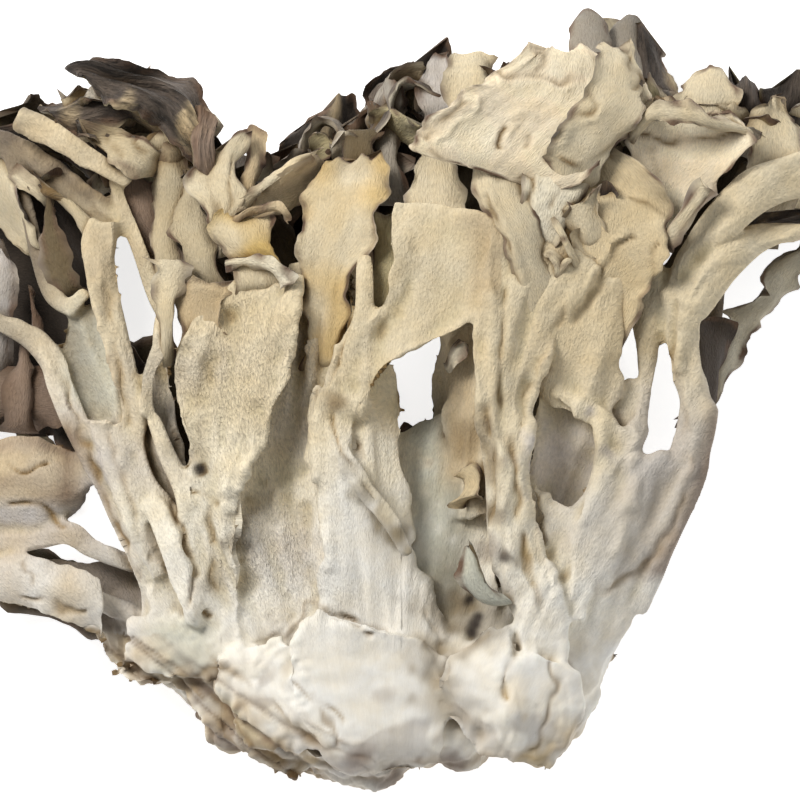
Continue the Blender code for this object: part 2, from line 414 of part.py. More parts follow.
def along(stations, t):
    """A smooth curve through the stations, for t from 0 at the root to 1 at the tip."""
    last = len(stations) - 1
    at = min(max(t, 0.0), 1.0) * last
    i = min(int(at), last - 1)
    f = at - i
    before = stations[max(i - 1, 0)]
    here, there = stations[i], stations[i + 1]
    after = stations[min(i + 2, last)]
    return [
        b + 0.5 * f * (c - a + f * (2 * a - 5 * b + 4 * c - d + f * (3 * (b - c) + d - a)))
        for a, b, c, d in zip(before, here, there, after)
    ]


def new_object(name, bm, collection):
    bmesh.ops.triangulate(bm, faces=bm.faces[:])
    mesh = bpy.data.meshes.new(name)
    bm.to_mesh(mesh)
    bm.free()
    piece = bpy.data.objects.new(name, mesh)
    collection.objects.link(piece)
    return piece


def run_length(points):
    return sum((b - a).length for a, b in zip(points, points[1:]))


def stalk(name, stations, collection):
    """A tapered stalk, oval across, whose ends are closed."""
    rings = max(2, round(run_length([Vector(s[:3]) for s in stations]) / STALK_STEP))
    bm = bmesh.new()
    bmesh.ops.create_cone(bm, cap_ends=True, segments=STALK_SIDES, radius1=1, radius2=1, depth=2)
    sides = [e for e in bm.edges if abs(e.verts[0].co.z - e.verts[1].co.z) > 1]
    bmesh.ops.subdivide_edges(bm, edges=sides, cuts=rings - 1, use_grid_fill=True)
    for v in bm.verts:
        t = (v.co.z + 1) / 2
        x, y, z, width = along(stations, t)
        ahead = Vector(along(stations, t + LOOK_AHEAD)[:3])
        ahead -= Vector(along(stations, t - LOOK_AHEAD)[:3])
        side = ahead.cross(Vector((0, 0, 1))).normalized()
        out = ahead.cross(side).normalized()
        depth = min(width * STALK_FLATNESS, STALK_DEPTH)
        rib = 1 + STALK_RIBS * math.cos(STALK_RIB_COUNT * math.atan2(v.co.y, v.co.x) + STALK_TWIST * t)
        v.co = Vector((x, y, z)) + (side * v.co.x * width + out * v.co.y * depth) * rib / 2
        v.co *= MM
    return new_object(name, bm, collection)


def frond(name, stations, proud, rounded, wave, thick, collection):
    """A thin sheet between two edges, waved along them, with its thickness to both sides."""
    left = [Vector(s[:3]) for s in stations]
    right = [Vector(s[3:]) for s in stations]
    length = run_length([(a + b) / 2 for a, b in zip(left, right)])
    width = max((a - b).length for a, b in zip(left, right))
    cells = max(3, round(length / FROND_STEP))
    across = max(2, round(width / FROND_ACROSS))
    turns = length / RUFFLE_LENGTH * math.tau
    start = len(name) * RUFFLE_START
    bm = bmesh.new()
    bmesh.ops.create_grid(bm, x_segments=across, y_segments=cells, size=1)
    for v in bm.verts:
        u, t = v.co.x, (v.co.y + 1) / 2
        here = along(stations, t)
        a, b = Vector(here[:3]), Vector(here[3:])
        ahead, behind = along(stations, t + LOOK_AHEAD), along(stations, t - LOOK_AHEAD)
        run = sum((Vector(ahead[i:i + 3]) - Vector(behind[i:i + 3]) for i in (0, 3)), Vector()).normalized()
        out = (b - a).cross(run).normalized()
        middle = 1 - u * u
        point = a.lerp(b, (u + 1) / 2)
        point += out * proud * middle
        point += run * rounded * middle * t ** 3
        point += out * wave * (u * u + t ** 6) * math.sin(turns * t + start + RUFFLE_SKEW * u)
        v.co = point * MM
    piece = new_object(name, bm, collection)
    shell = piece.modifiers.new("thickness", "SOLIDIFY")
    shell.thickness = thick * MM
    shell.offset = 0
    return piece


def lump(name, place, collection):
    """A rounded lump of flesh with a coarse torn surface."""
    centre, half = Vector(place[:3]), Vector(place[3:])
    bm = bmesh.new()
    bmesh.ops.create_icosphere(bm, subdivisions=3 if half.x > LARGE_LUMP else 2, radius=1)
    for v in bm.verts:
        out = v.co.normalized()
        point = centre + Vector(o * h for o, h in zip(out, half))
        v.co = (point + out * LUMP_ROUGHNESS * noise.noise(point * LUMP_GRAIN)) * MM
    return new_object(name, bm, collection)


def modify(piece, name, kind, **settings):
    modifier = piece.modifiers.new(name, kind)
    for key, value in settings.items():
        setattr(modifier, key, value)
    bpy.context.view_layer.update()
    solid = bpy.data.meshes.new_from_object(piece.evaluated_get(bpy.context.evaluated_depsgraph_get()))
    piece.modifiers.clear()
    piece.data = solid


def triangulate(bm):
    """Cuts the faces into triangles, and turns a diagonal that two share, which no closed skin has."""
    bmesh.ops.triangulate(bm, faces=bm.faces[:], quad_method="BEAUTY", ngon_method="BEAUTY")
    for edge in [e for e in bm.edges if len(e.link_faces) == 4]:
        faces = list(edge.link_faces)
        first = faces[0]
        second = max(faces[1:], key=lambda f: f.normal.dot(first.normal))
        a, b = edge.verts
        c = next(v for v in first.verts if v not in edge.verts)
        d = next(v for v in second.verts if v not in edge.verts)
        order = list(first.verts)
        if order[(order.index(a) + 1) % 3] is not b:
            a, b = b, a
        bmesh.ops.delete(bm, geom=[first, second], context="FACES_ONLY")
        bm.faces.new((a, d, c))
        bm.faces.new((d, b, c))
    bm.normal_update()


def turns_over(gone, kept):
    """Whether moving one end of an edge onto the other folds a neighbouring face."""
    for face in gone.link_faces:
        if kept not in face.verts:
            a, b, c = (kept.co if v is gone else v.co for v in face.verts)
            normal = (b - a).cross(c - a)
            if normal.length < NO_AREA or normal.normalized().dot(face.normal) < FOLDED_OVER:
                return True
    return False


def close_short_edges(bm, kept_places):
    """Closes up the short edges where nothing folds and the skin stays closed."""
    while True:
        merges, touched = {}, set()
        short = [e for e in bm.edges if e.calc_length() < SHORTEST_EDGE * MM and len(e.link_faces) == 2]
        for edge in sorted(short, key=lambda e: e.calc_length()):
            a, b = edge.verts
            rings = [{e.other_vert(v) for e in v.link_edges} for v in (a, b)]
            shared = rings[0] & rings[1]
            if touched & (rings[0] | rings[1]) or len(shared) != 2:
                continue
            if any(len(v.link_edges) < 4 for v in shared):
                continue
            if any((a.co - place).length < KEPT_REACH * MM for place in kept_places):
                continue
            pairs = [pair for pair in ((a, b), (b, a)) if not turns_over(*pair)]
            if pairs:
                gone, kept = pairs[0]
                merges[gone] = kept
                touched |= rings[0] | rings[1]
        if not merges:
            return
        bmesh.ops.weld_verts(bm, targetmap=merges)
        bm.normal_update()


def crossings(bm):
    """The corners of faces that cut through another face."""
    tree = BVHTree.FromBMesh(bm)
    bm.faces.ensure_lookup_table()
    faces = bm.faces
    pairs = [(faces[i], faces[j]) for i, j in tree.overlap(tree) if i < j]
    crossed = [pair for pair in pairs if not set(pair[0].verts) & set(pair[1].verts)]
    return [v.co.copy() for pair in crossed for face in pair for v in face.verts]


def keep_whole(bm):
    """Keeps the cluster itself, and drops the scraps and sealed hollows that fusing leaves."""
    unseen, bodies = set(bm.verts), []
    while unseen:
        body, edge = set(), [unseen.pop()]
        while edge:
            v = edge.pop()
            body.add(v)
            near = {e.other_vert(v) for e in v.link_edges} & unseen
            unseen -= near
            edge += near
        bodies.append(body)
    bodies.sort(key=len)
    for scrap in bodies[:-1]:
        bmesh.ops.delete(bm, geom=list(scrap), context="VERTS")


def tidy_skin(piece):
    """Closes up the slivers where pieces meet, and leaves them where closing would make the skin cross."""
    kept_places = []
    for _ in range(TIDY_ROUNDS):
        bm = bmesh.new()
        bm.from_mesh(piece.data)
        triangulate(bm)
        keep_whole(bm)
        close_short_edges(bm, kept_places)
        crossed = crossings(bm)
        if not crossed:
            bm.to_mesh(piece.data)
            bm.free()
            return
        kept_places += crossed
        bm.free()
    raise RuntimeError("the skin still crosses itself")


def press_flat(piece):
    """Cuts away what lies under the rest height, which leaves the small flat spots."""
    reach = CUTTER_SIZE * MM
    bpy.ops.mesh.primitive_cube_add(size=reach, location=(0, 0, REST_HEIGHT * MM - reach / 2))
    cutter = bpy.context.object
    cutter.display_type = "WIRE"
    cutter.hide_render = True
    modify(piece, "pressed_flat", "BOOLEAN", operation="DIFFERENCE", object=cutter, solver="MANIFOLD")
    bpy.data.objects.remove(cutter, do_unlink=True)


def to_origin(piece):
    """Places the cluster so that the middle of its box's underside is the origin."""
    points = [v.co for v in piece.data.vertices]
    low = Vector(min(p[i] for p in points) for i in range(3))
    high = Vector(max(p[i] for p in points) for i in range(3))
    piece.location = (-(low.x + high.x) / 2, -(low.y + high.y) / 2, -low.z)


for old in list(bpy.data.objects):
    bpy.data.objects.remove(old, do_unlink=True)

cluster = bpy.data.collections.new("dried_maitake_cluster")
growth = bpy.data.collections.new("growth")
bpy.context.scene.collection.children.link(cluster)
bpy.context.scene.collection.children.link(growth)

for name, place in LUMPS.items():
    lump(name, place, growth)
for name, stations in STALKS.items():
    stalk(name, stations, growth)
for name, (stations, proud, rounded, wave, thick) in FRONDS.items():
    frond(name, stations, proud, rounded, wave, thick, growth)

first = growth.objects["base_middle"]
growth.objects.unlink(first)
cluster.objects.link(first)
first.name = "fruiting_body"
modify(first, "grown_together", "BOOLEAN", operation="UNION", operand_type="COLLECTION", collection=growth,
       solver="MANIFOLD")
for piece in list(growth.objects):
    bpy.data.objects.remove(piece, do_unlink=True)
bpy.data.collections.remove(growth)
press_flat(first)
tidy_skin(first)
to_origin(first)
first.data.materials.clear()
first.data.materials.append(flesh())
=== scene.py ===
"""The looks of a dried maitake cluster: cut base, branching stalks and ruffled fronds, grown as one piece."""
import math

import bpy
import numpy
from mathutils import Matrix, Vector, bvhtree, kdtree


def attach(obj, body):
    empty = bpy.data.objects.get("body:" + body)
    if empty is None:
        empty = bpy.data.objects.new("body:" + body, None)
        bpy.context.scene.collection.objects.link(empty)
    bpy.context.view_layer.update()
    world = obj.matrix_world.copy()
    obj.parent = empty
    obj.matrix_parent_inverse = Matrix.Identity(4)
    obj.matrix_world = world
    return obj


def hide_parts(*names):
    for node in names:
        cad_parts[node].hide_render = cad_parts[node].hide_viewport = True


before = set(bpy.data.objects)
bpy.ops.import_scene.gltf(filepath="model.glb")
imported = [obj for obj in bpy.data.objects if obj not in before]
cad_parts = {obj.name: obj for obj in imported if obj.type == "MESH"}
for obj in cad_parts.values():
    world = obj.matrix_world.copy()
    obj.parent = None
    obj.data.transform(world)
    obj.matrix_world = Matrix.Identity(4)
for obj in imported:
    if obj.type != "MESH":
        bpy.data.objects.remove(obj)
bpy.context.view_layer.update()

# The stand for the picture: a pale matt floor that the cluster lies on, a large soft lamp from the upper
# left, a weaker one from the right, and a camera that looks straight down on the pored side.
MM = 0.001
VIEW_WIDTH = 160 * MM        # what the picture takes in at the height of the front fronds
VIEW_CENTRE = (1.8 * MM, 1.1 * MM, 40 * MM)
CAMERA_HEIGHT = 1.5

bpy.ops.object.select_all(action="DESELECT")
bpy.ops.mesh.primitive_plane_add(size=6)
floor = bpy.context.object
floor.name = "pale_floor"
paper = bpy.data.materials.new("pale_paper")
paper.use_nodes = True
shader = paper.node_tree.nodes["Principled BSDF"]
shader.inputs["Base Color"].default_value = (0.93, 0.93, 0.93, 1)
shader.inputs["Roughness"].default_value = 0.9
shader.inputs["Emission Color"].default_value = (1, 1, 1, 1)
shader.inputs["Emission Strength"].default_value = 0.75
floor.data.materials.append(paper)

bpy.ops.object.camera_add(location=Vector(VIEW_CENTRE) + Vector((0, 0, CAMERA_HEIGHT)), rotation=(0, 0, 0))
camera = bpy.context.object
camera.data.sensor_width = 36
camera.data.lens = 36 * CAMERA_HEIGHT / VIEW_WIDTH
bpy.context.scene.camera = camera


def soft_lamp(name, place, size, power, tint):
    """A square lamp of soft light that faces the cluster."""
    bpy.ops.object.light_add(type="AREA", location=place)
    lamp = bpy.context.object
    lamp.name = name
    lamp.rotation_euler = (Vector(VIEW_CENTRE) - Vector(place)).to_track_quat("-Z", "Y").to_euler()
    lamp.data.size = size
    lamp.data.energy = power
    lamp.data.color = tint


soft_lamp("upper_left_lamp", (-0.5, 0.5, 0.75), 0.36, 8.8, (1.0, 0.98, 0.95))
soft_lamp("right_lamp", (0.8, -0.1, 0.7), 0.8, 1.4, (0.96, 0.98, 1.0))
sky = bpy.data.worlds.new("pale_room")
sky.use_nodes = True
sky.node_tree.nodes["Background"].inputs["Color"].default_value = (0.95, 0.97, 1, 1)
sky.node_tree.nodes["Background"].inputs["Strength"].default_value = 0.3
bpy.context.scene.world = sky
bpy.context.scene.view_settings.view_transform = "Standard"

# The finish of the dried flesh. The pored side is matt and velvety, with short raised fibres that run the way
# the flesh grew; the caps' upper skin is dark and wrinkled into radial threads. Both take their broad colour
# from what is painted on each piece, and their fibres from its own measure of across and along.


def add(tree, kind, inputs=(), **settings):
    """A new node, with its settings, and its inputs set or fed."""
    new = tree.nodes.new(kind)
    for key, value in settings.items():
        setattr(new, key, value)
    for key, value in dict(inputs).items():
        if isinstance(value, bpy.types.NodeSocket):
            tree.links.new(value, new.inputs[key])
        else:
            new.inputs[key].default_value = value
    return new


def flesh_finish(name, fibre, fibre_depth, pore, pore_depth, streak, speckle):
    """Matt dried flesh. fibre and pore are how many fit in a millimetre; the depths are in millimetres."""
    material = bpy.data.materials.new(name)
    material.use_nodes = True
    tree = material.node_tree
    shader = tree.nodes["Principled BSDF"]
    shader.inputs["Roughness"].default_value = 0.88
    shader.inputs["Specular IOR Level"].default_value = 0.25
    shader.inputs["Sheen Weight"].default_value = 0.08
    shader.inputs["Sheen Roughness"].default_value = 0.5
    tone = add(tree, "ShaderNodeAttribute", attribute_name="tone").outputs["Color"]
    flow = add(tree, "ShaderNodeAttribute", attribute_name="flow").outputs["Vector"]
    place = add(tree, "ShaderNodeTexCoord").outputs["Object"]

    threads = add(tree, "ShaderNodeMapping", {"Vector": flow, "Scale": (fibre, fibre * 0.16, 1)})
    threads = add(tree, "ShaderNodeTexNoise", {"Vector": threads.outputs[0], "Scale": 1, "Detail": 4,
                                               "Roughness": 0.6, "Distortion": 0.6})
    velvet = add(tree, "ShaderNodeSeparateXYZ", {"Vector": flow}).outputs["Z"]
    velvet = add(tree, "ShaderNodeMath", {0: velvet}, operation="ABSOLUTE").outputs[0]
    pores = add(tree, "ShaderNodeMapping", {"Vector": flow, "Scale": (pore, pore * 0.36, 1)})
    pores = add(tree, "ShaderNodeTexNoise", {"Vector": pores.outputs[0], "Scale": 1, "Detail": 2,
                                             "Roughness": 0.65, "Distortion": 0.3})
    patches = add(tree, "ShaderNodeTexNoise", {"Vector": place, "Scale": 130, "Detail": 5, "Roughness": 0.6})

    def shade(colour, amount, low, high, start=0.3, end=0.7):
        """Darkens and lightens the colour by a pattern."""
        factor = add(tree, "ShaderNodeMapRange", {"Value": amount, "From Min": start, "From Max": end,
                                                  "To Min": low, "To Max": high})
        return add(tree, "ShaderNodeVectorMath", {0: colour, "Scale": factor.outputs[0]},
                   operation="SCALE").outputs[0]

    colour = shade(tone, threads.outputs["Fac"], 1 - streak, 1 + streak)
    darker, lighter = (add(tree, "ShaderNodeMath", {0: velvet, 1: way * speckle, 2: 1},
                           operation="MULTIPLY_ADD").outputs[0] for way in (-1, 1))
    colour = shade(colour, pores.outputs["Fac"], darker, lighter)
    warm = add(tree, "ShaderNodeMapRange", {"Value": patches.outputs["Fac"], "From Min": 0.35,
                                            "From Max": 0.7})
    warmer = add(tree, "ShaderNodeVectorMath", {0: colour, 1: (0.98, 0.93, 0.84)}, operation="MULTIPLY")
    colour = add(tree, "ShaderNodeMix", {"Factor": warm.outputs[0], 6: colour, 7: warmer.outputs[0]},
                 data_type="RGBA")
    tree.links.new(colour.outputs[2], shader.inputs["Base Color"])

    fine = add(tree, "ShaderNodeBump", {"Height": pores.outputs["Fac"], "Distance": pore_depth * MM,
                                        "Strength": velvet})
    lines = add(tree, "ShaderNodeBump", {"Height": threads.outputs["Fac"], "Distance": fibre_depth * MM,
                                         "Strength": velvet, "Normal": fine.outputs[0]})
    tree.links.new(lines.outputs[0], shader.inputs["Normal"])
    return material


PORED = flesh_finish("pored_flesh", 0.9, 0.1, 3.0, 0.36, 0.03, 0.13)
CAP = flesh_finish("cap_skin", 1.1, 1.1, 2.2, 0.4, 0.4, 0.16)


def paint(r, g, b):
    """A colour as the eye reads it, from 0 to 255, as the amounts of light that the finish works with."""
    part = numpy.array((r, g, b)) / 255
    return numpy.where(part <= 0.04045, part / 12.92, ((part + 0.055) / 1.055) ** 2.4)


CREAM = paint(222, 208, 178)
PALE = paint(240, 231, 208)
WHITE = paint(249, 246, 238)
OLIVE = paint(196, 184, 146)
MIST = paint(200, 200, 186)
GREY = paint(176, 168, 156)
LAVENDER = paint(206, 199, 192)
BRIGHT = paint(252, 237, 209)
# cream in painted shade, for the fronds that lie in shade at the left of the crown
SHADED_CREAM = paint(206, 191, 160)
STAIN = paint(214, 184, 118)
OCHRE = paint(218, 192, 140)
PEACH = paint(222, 204, 168)
TAN = paint(206, 186, 152)
BROWN = paint(112, 90, 74)
ROSE = paint(150, 130, 114)
SHADE = paint(112, 98, 74)
DARK = paint(100, 90, 82)
# the dark skin of the caps' upper side, also used as painted shade deep in the flesh
CAP_SKIN_AND_DEEP_SHADE = paint(104, 92, 82)

# The cut base is one solid lump of white flesh, as hard and light as bone. It was cut from the log with a
# knife, so its front is in thick broken plates and its lower edge is torn skin with brown threads.
FROM_LAYOUT = numpy.array((1.827, -78.938, -5.0))   # from the rows below to the cluster's own origin
BODY_CELL = 0.9         # size of a cell, in millimetres, on what is to be fused
growth = []


def along(rows, t):
    """A smooth curve through the rows, for t from 0 at the root to 1 at the tip."""
    last = len(rows) - 1
    at = numpy.clip(t, 0, 1) * last
    i = numpy.minimum(at.astype(int), last - 1)
    f = (at - i)[:, None]
    a, b, c, d = (rows[numpy.clip(i + k, 0, last)] for k in (-1, 0, 1, 2))
    return b + 0.5 * f * (c - a + f * (2 * a - 5 * b + 4 * c - d + f * (3 * (b - c) + d - a)))


def unit(ways):
    """The same ways, each of length 1."""
    return ways / numpy.maximum(numpy.linalg.norm(ways, axis=1, keepdims=True), 1e-9)


def swell(places, size, seed):
    """Smooth random rises and hollows about this many millimetres across, from about -1 to 1."""
    draw = numpy.random.default_rng(seed)
    total = numpy.zeros(len(places))
    for _ in range(14):
        way = draw.normal(size=places.shape[1])
        way *= math.tau / (size * draw.uniform(1.2, 3.2) * numpy.linalg.norm(way))
        total += numpy.sin(places @ way + draw.uniform(0, math.tau))
    return total / 14 ** 0.5


def ball(name, round_it, up_it):
    """A ball of cells, with each point's share of the way round (-1..1) and up, and whether it is a pole."""
    bpy.ops.mesh.primitive_uv_sphere_add(segments=2 * round_it, ring_count=up_it + 2, radius=1)
    piece = bpy.context.object
    piece.name = name
    x, y, z = numpy.array([v.co for v in piece.data.vertices]).T
    ring = numpy.arccos(numpy.clip(-z, -1, 1)) / math.pi * (up_it + 2)
    return piece, numpy.arctan2(y, x) / math.pi, numpy.clip((ring - 1) / up_it, 0, 1), abs(z) > 0.999999


def move_points(piece, points):
    """Moves the piece's points to these places, in millimetres of the layout."""
    piece.data.vertices.foreach_set("co", ((points + FROM_LAYOUT) * MM).astype(numpy.float32).ravel())


def keep_vectors(piece, name, vectors):
    """Keeps a vector for every point of the piece under this name."""
    layer = piece.data.attributes.new(name, "FLOAT_VECTOR", "POINT")
    layer.data.foreach_set("vector", vectors.astype(numpy.float32).ravel())


def place_points(piece, points, flow):
    """Gives the piece its points and its measure of across and along."""
    move_points(piece, points)
    keep_vectors(piece, "flow", flow)
    piece.data.update()


def sheet(name, rows, proud, rounded, wave, thick, cell=BODY_CELL, ragged=0.6, folds=0.25, curl=0, lobes=0,
          dive=0):
    """A leathery sheet between two edges, closed all round, whose front faces to the left of its way up.

    proud bows its middle forward and rounded its end. wave ruffles its margin, curl rolls it and lobes cuts
    into it. dive takes its root down into the flesh.
    """
    rows = numpy.array(rows, float)
    left, right = rows[:, :3], rows[:, 3:]
    length = numpy.linalg.norm(numpy.diff((left + right) / 2, axis=0), axis=1).sum()
    width = numpy.linalg.norm(left - right, axis=1).max()
    piece, p, t, pole = ball(name, max(5, round(width / cell)), max(6, round(length / cell)))
    u = numpy.where(pole, 0, 1 - 2 * abs(p))
    here = along(rows, t)
    a, b = here[:, :3], here[:, 3:]
    run = along(rows, t + 0.03) - along(rows, t - 0.03)
    run = unit(run[:, :3] + run[:, 3:])
    across = unit(b - a)
    out = unit(numpy.cross(across, run))
    seed = sum(map(ord, name))
    flow = numpy.stack((u * width / 2 + seed, t * length, numpy.zeros(len(u))), axis=1)
    edges = numpy.stack((t * length, numpy.sign(u) * 50, numpy.full(len(u), seed)), axis=1)
    tips = numpy.stack((u * width / 2, numpy.full(len(u), 9.0), numpy.full(len(u), seed)), axis=1)
    middle = 1 - u * u
    margin = numpy.maximum(abs(u) ** 3 * numpy.minimum(1, 3 * t), t ** 6)
    points = a + (b - a) * ((u[:, None] + 1) / 2)
    rim = numpy.minimum((1 - abs(u)) * width / 2, (1 - t) * length)
    bulge = proud * middle + 0.45 * ragged * numpy.exp(-rim / 1.3) * swell(flow, 1.3, seed + 9)
    bulge += wave * (u * u + t ** 6) * numpy.sin(length / 17 * math.tau * t + len(name) * 1.7 + u * 2.2)
    fine = swell(flow * (1, 0.22, 1), 2.6, seed)
    if folds > 0.5:         # shrunk hard, into sharp ridges
        fine = 0.8 - 1.6 * abs(fine)
    bulge += folds * fine + 0.8 * folds * swell(flow * (1, 0.4, 1), 6, seed + 1)
    bulge -= dive * numpy.clip(1 - t * length / 5, 0, 1) ** 2
    bulge += 0.9 * wave * margin * swell(flow, 3.8, seed + 2)
    bulge += curl * numpy.maximum(abs(u) ** 2.5 * numpy.minimum(1, 2 * t), t ** 4) * swell(flow, 12, seed + 6)
    torn = swell(edges, 3.5, seed + 3) + 0.4 * swell(edges, 1.3, seed)
    in_plane = abs(u) ** 3 * numpy.sign(u) * (ragged * torn + lobes * swell(edges, 8, seed + 7))
    torn = 1.3 * swell(tips, 4, seed + 4) + 0.5 * swell(tips, 1.4, seed + 5)
    on_end = rounded * middle * t ** 3 + t ** 8 * (ragged * torn + 1.6 * lobes * swell(tips, 7, seed + 8))
    thin = 0.75 if cell == BODY_CELL else 0.4       # what is to be fused has firmer margins
    half = thick / 2 * (thin + (1 - thin) * numpy.clip(rim / 3, 0, 1)) * numpy.sqrt(
        numpy.clip(1 - (1 - numpy.clip(rim / (thick * 0.5), 0, 1)) ** 2, 0.01, 1))
    half *= numpy.where(pole, 0, -numpy.sign(p) * (abs(u) < 0.9999))
    points += out * (bulge + half)[:, None] + across * in_plane[:, None] + run * on_end[:, None]
    flow[:, 2] = numpy.sign(half)
    place_points(piece, points, flow)
    return piece


def tube(name, rows, depth_share, cell=BODY_CELL, rough=0.1):
    """A tapered strand, oval across, closed at both ends."""
    rows = numpy.array(rows, float)
    length = numpy.linalg.norm(numpy.diff(rows[:, :3], axis=0), axis=1).sum()
    widest = rows[:, 3].max()
    piece, p, t, pole = ball(name, max(6, round(widest * 1.3 / cell)), max(8, round(length / cell)))
    here = along(rows, t)
    run = unit((along(rows, t + 0.02) - along(rows, t - 0.02))[:, :3])
    side = unit(numpy.cross(run, numpy.array((0.0, 0.0, 1.0))))
    out = unit(numpy.cross(side, run))
    angle = p * math.pi
    width = here[:, 3]
    depth = numpy.minimum(width * depth_share, 7.5)
    seed = sum(map(ord, name))
    ring = numpy.stack((numpy.cos(angle) * widest, numpy.sin(angle) * widest, t * length * 0.2), axis=1)
    rib = 0.9 + 0.08 * numpy.cos(3 * angle + t * 2) + rough * (0.6 * swell(ring, 1.5, seed)
                                                            + 2 * abs(swell(ring, 2.6, seed + 1)))
    rib *= numpy.where(pole, 0, numpy.minimum(1, numpy.sqrt((0.3 + numpy.minimum(t, 1 - t) * length / 2))))
    points = here[:, :3] + side * (numpy.cos(angle) * width * rib / 2)[:, None]
    points -= out * (numpy.sin(angle) * depth * rib / 2)[:, None]
    flow = numpy.stack((angle * widest / 2 + seed, t * length, -numpy.sign(numpy.sin(angle))), axis=1)
    place_points(piece, points, flow)
    return piece


def stalk(name, rows):
    """A broad stalk as a bundle of strands side by side, which swell, thin and wander as they go up."""
    rows = numpy.array(rows, float)
    length = numpy.linalg.norm(numpy.diff(rows[:, :3], axis=0), axis=1).sum()
    strands = max(2, round(rows[:, 3].mean() / 2.4))
    t = numpy.linspace(0, 1, max(5, round(length / 7)))
    here = along(rows, t)
    run = unit((along(rows, t + 0.02) - along(rows, t - 0.02))[:, :3])
    side = unit(numpy.cross(run, numpy.array((0.0, 0.0, 1.0))))
    up = numpy.stack((t * length, numpy.zeros(len(t))), axis=1)
    seed = sum(map(ord, name))
    made = [tube(name + "_core", here * (1, 1, 1, 0.86), 0.5)]
    for k in range(strands):
        at = (k + 0.5) / strands * 2 - 1
        strand = here.copy()
        width = here[:, 3] / strands * (1.5 + 0.35 * swell(up + (0, k * 40), 9, seed + k))
        offset = (here[:, 3] - width) / 2 * (at / max(1 - 1 / strands, 0.5))
        offset += 0.35 * swell(up + (0, k * 60), 12, seed)
        lift = 0.9 * swell(up + (0, k * 80), 11, seed + 2) - 0.8 * abs(at)
        strand[:, :3] += side * offset[:, None] + numpy.outer(lift, (0, 0, 1))
        strand[:, 3] = numpy.maximum(width, 1.8)
        made.append(tube(f"{name}_{k}", strand, 0.95))
    return made


def lump(name, centre, half):
    """A rounded lump of flesh."""
    bpy.ops.mesh.primitive_ico_sphere_add(subdivisions=5, radius=1)
    piece = bpy.context.object
    piece.name = name
    out = numpy.array([v.co for v in piece.data.vertices])
    points = numpy.array(centre) + out * numpy.array(half)
    points += out * (1.2 * swell(points, 8, 3))[:, None]
    place_points(piece, points, points)
    return piece


def cut_lump(name, outline, centre, deep):
    """A lump with this outline, steep torn sides, and a front that slopes off to the stalks."""
    outline = numpy.array(outline, float)
    piece, p, t, pole = ball(name, 130, 56)
    turn = p * math.pi
    spokes = numpy.arctan2(outline[:, 1] - centre[1], outline[:, 0] - centre[0])
    order = numpy.argsort(spokes)
    reach = numpy.hypot(outline[:, 0] - centre[0], outline[:, 1] - centre[1])
    tilt = math.pi * (t * 56 + 1) / 58
    share = numpy.where(pole, 0, numpy.sin(tilt)) ** 0.5
    reach = numpy.interp(turn, spokes[order], reach[order], period=math.tau) * share
    x, y = centre[0] + reach * numpy.cos(turn), centre[1] + reach * numpy.sin(turn)
    front = numpy.interp(y, (4, 12, 28, 46), (14, 18, 18, 8))
    front *= numpy.interp(x, (-62, -40, -22, 60), (0.5, 0.7, 1, 0.9))
    rise = -numpy.cos(tilt)
    z = centre[2] + numpy.sign(rise) * abs(rise) ** 0.55 * numpy.where(rise > 0, front, deep)
    points = numpy.stack((x, y, z), axis=1)
    torn = share ** 8 * (0.9 * swell(points, 4, 5) + 0.4 * swell(points, 1.6, 6))
    rough = numpy.cos(turn) * torn, numpy.sin(turn) * torn, 0.7 * swell(points, 14, 8)
    points += numpy.stack(rough, axis=1)
    place_points(piece, points, points)
    return piece


BASE_OUTLINE = [
    (-67, 37), (-62, 33), (-58, 27), (-54.5, 23.5), (-44, 22.5), (-40, 17.5), (-38, 13), (-36, 11), (-30, 9),
    (-23, 6), (-18, 5), (-14, 3.3), (-10, 4), (-5, 1.5), (-3, 2), (0, 5), (2, 6.5), (8.5, 7), (9.5, 5.5),
    (13, 5.5), (15.5, 6.5), (16, 8.5), (20, 9), (24, 7.5), (28, 5.5), (30, 7.5), (34, 10.5), (36, 13.5),
    (40, 20), (43, 27.5), (46, 35), (50, 43), (44, 47), (30, 46), (15, 40), (0, 44), (-15, 46), (-30, 44),
    (-46, 44), (-60, 42)]
growth.append(cut_lump("cut_base", BASE_OUTLINE, (-5, 28, 27), 14))
BASE_LUMPS = {
    "base_back": ((2, 30, 13), (20, 16, 9)),
    "crown_rest_left": ((-40, 112, 8), (7, 6, 5)),
    "crown_rest_right": ((46, 112, 8), (7, 6, 5)),
}
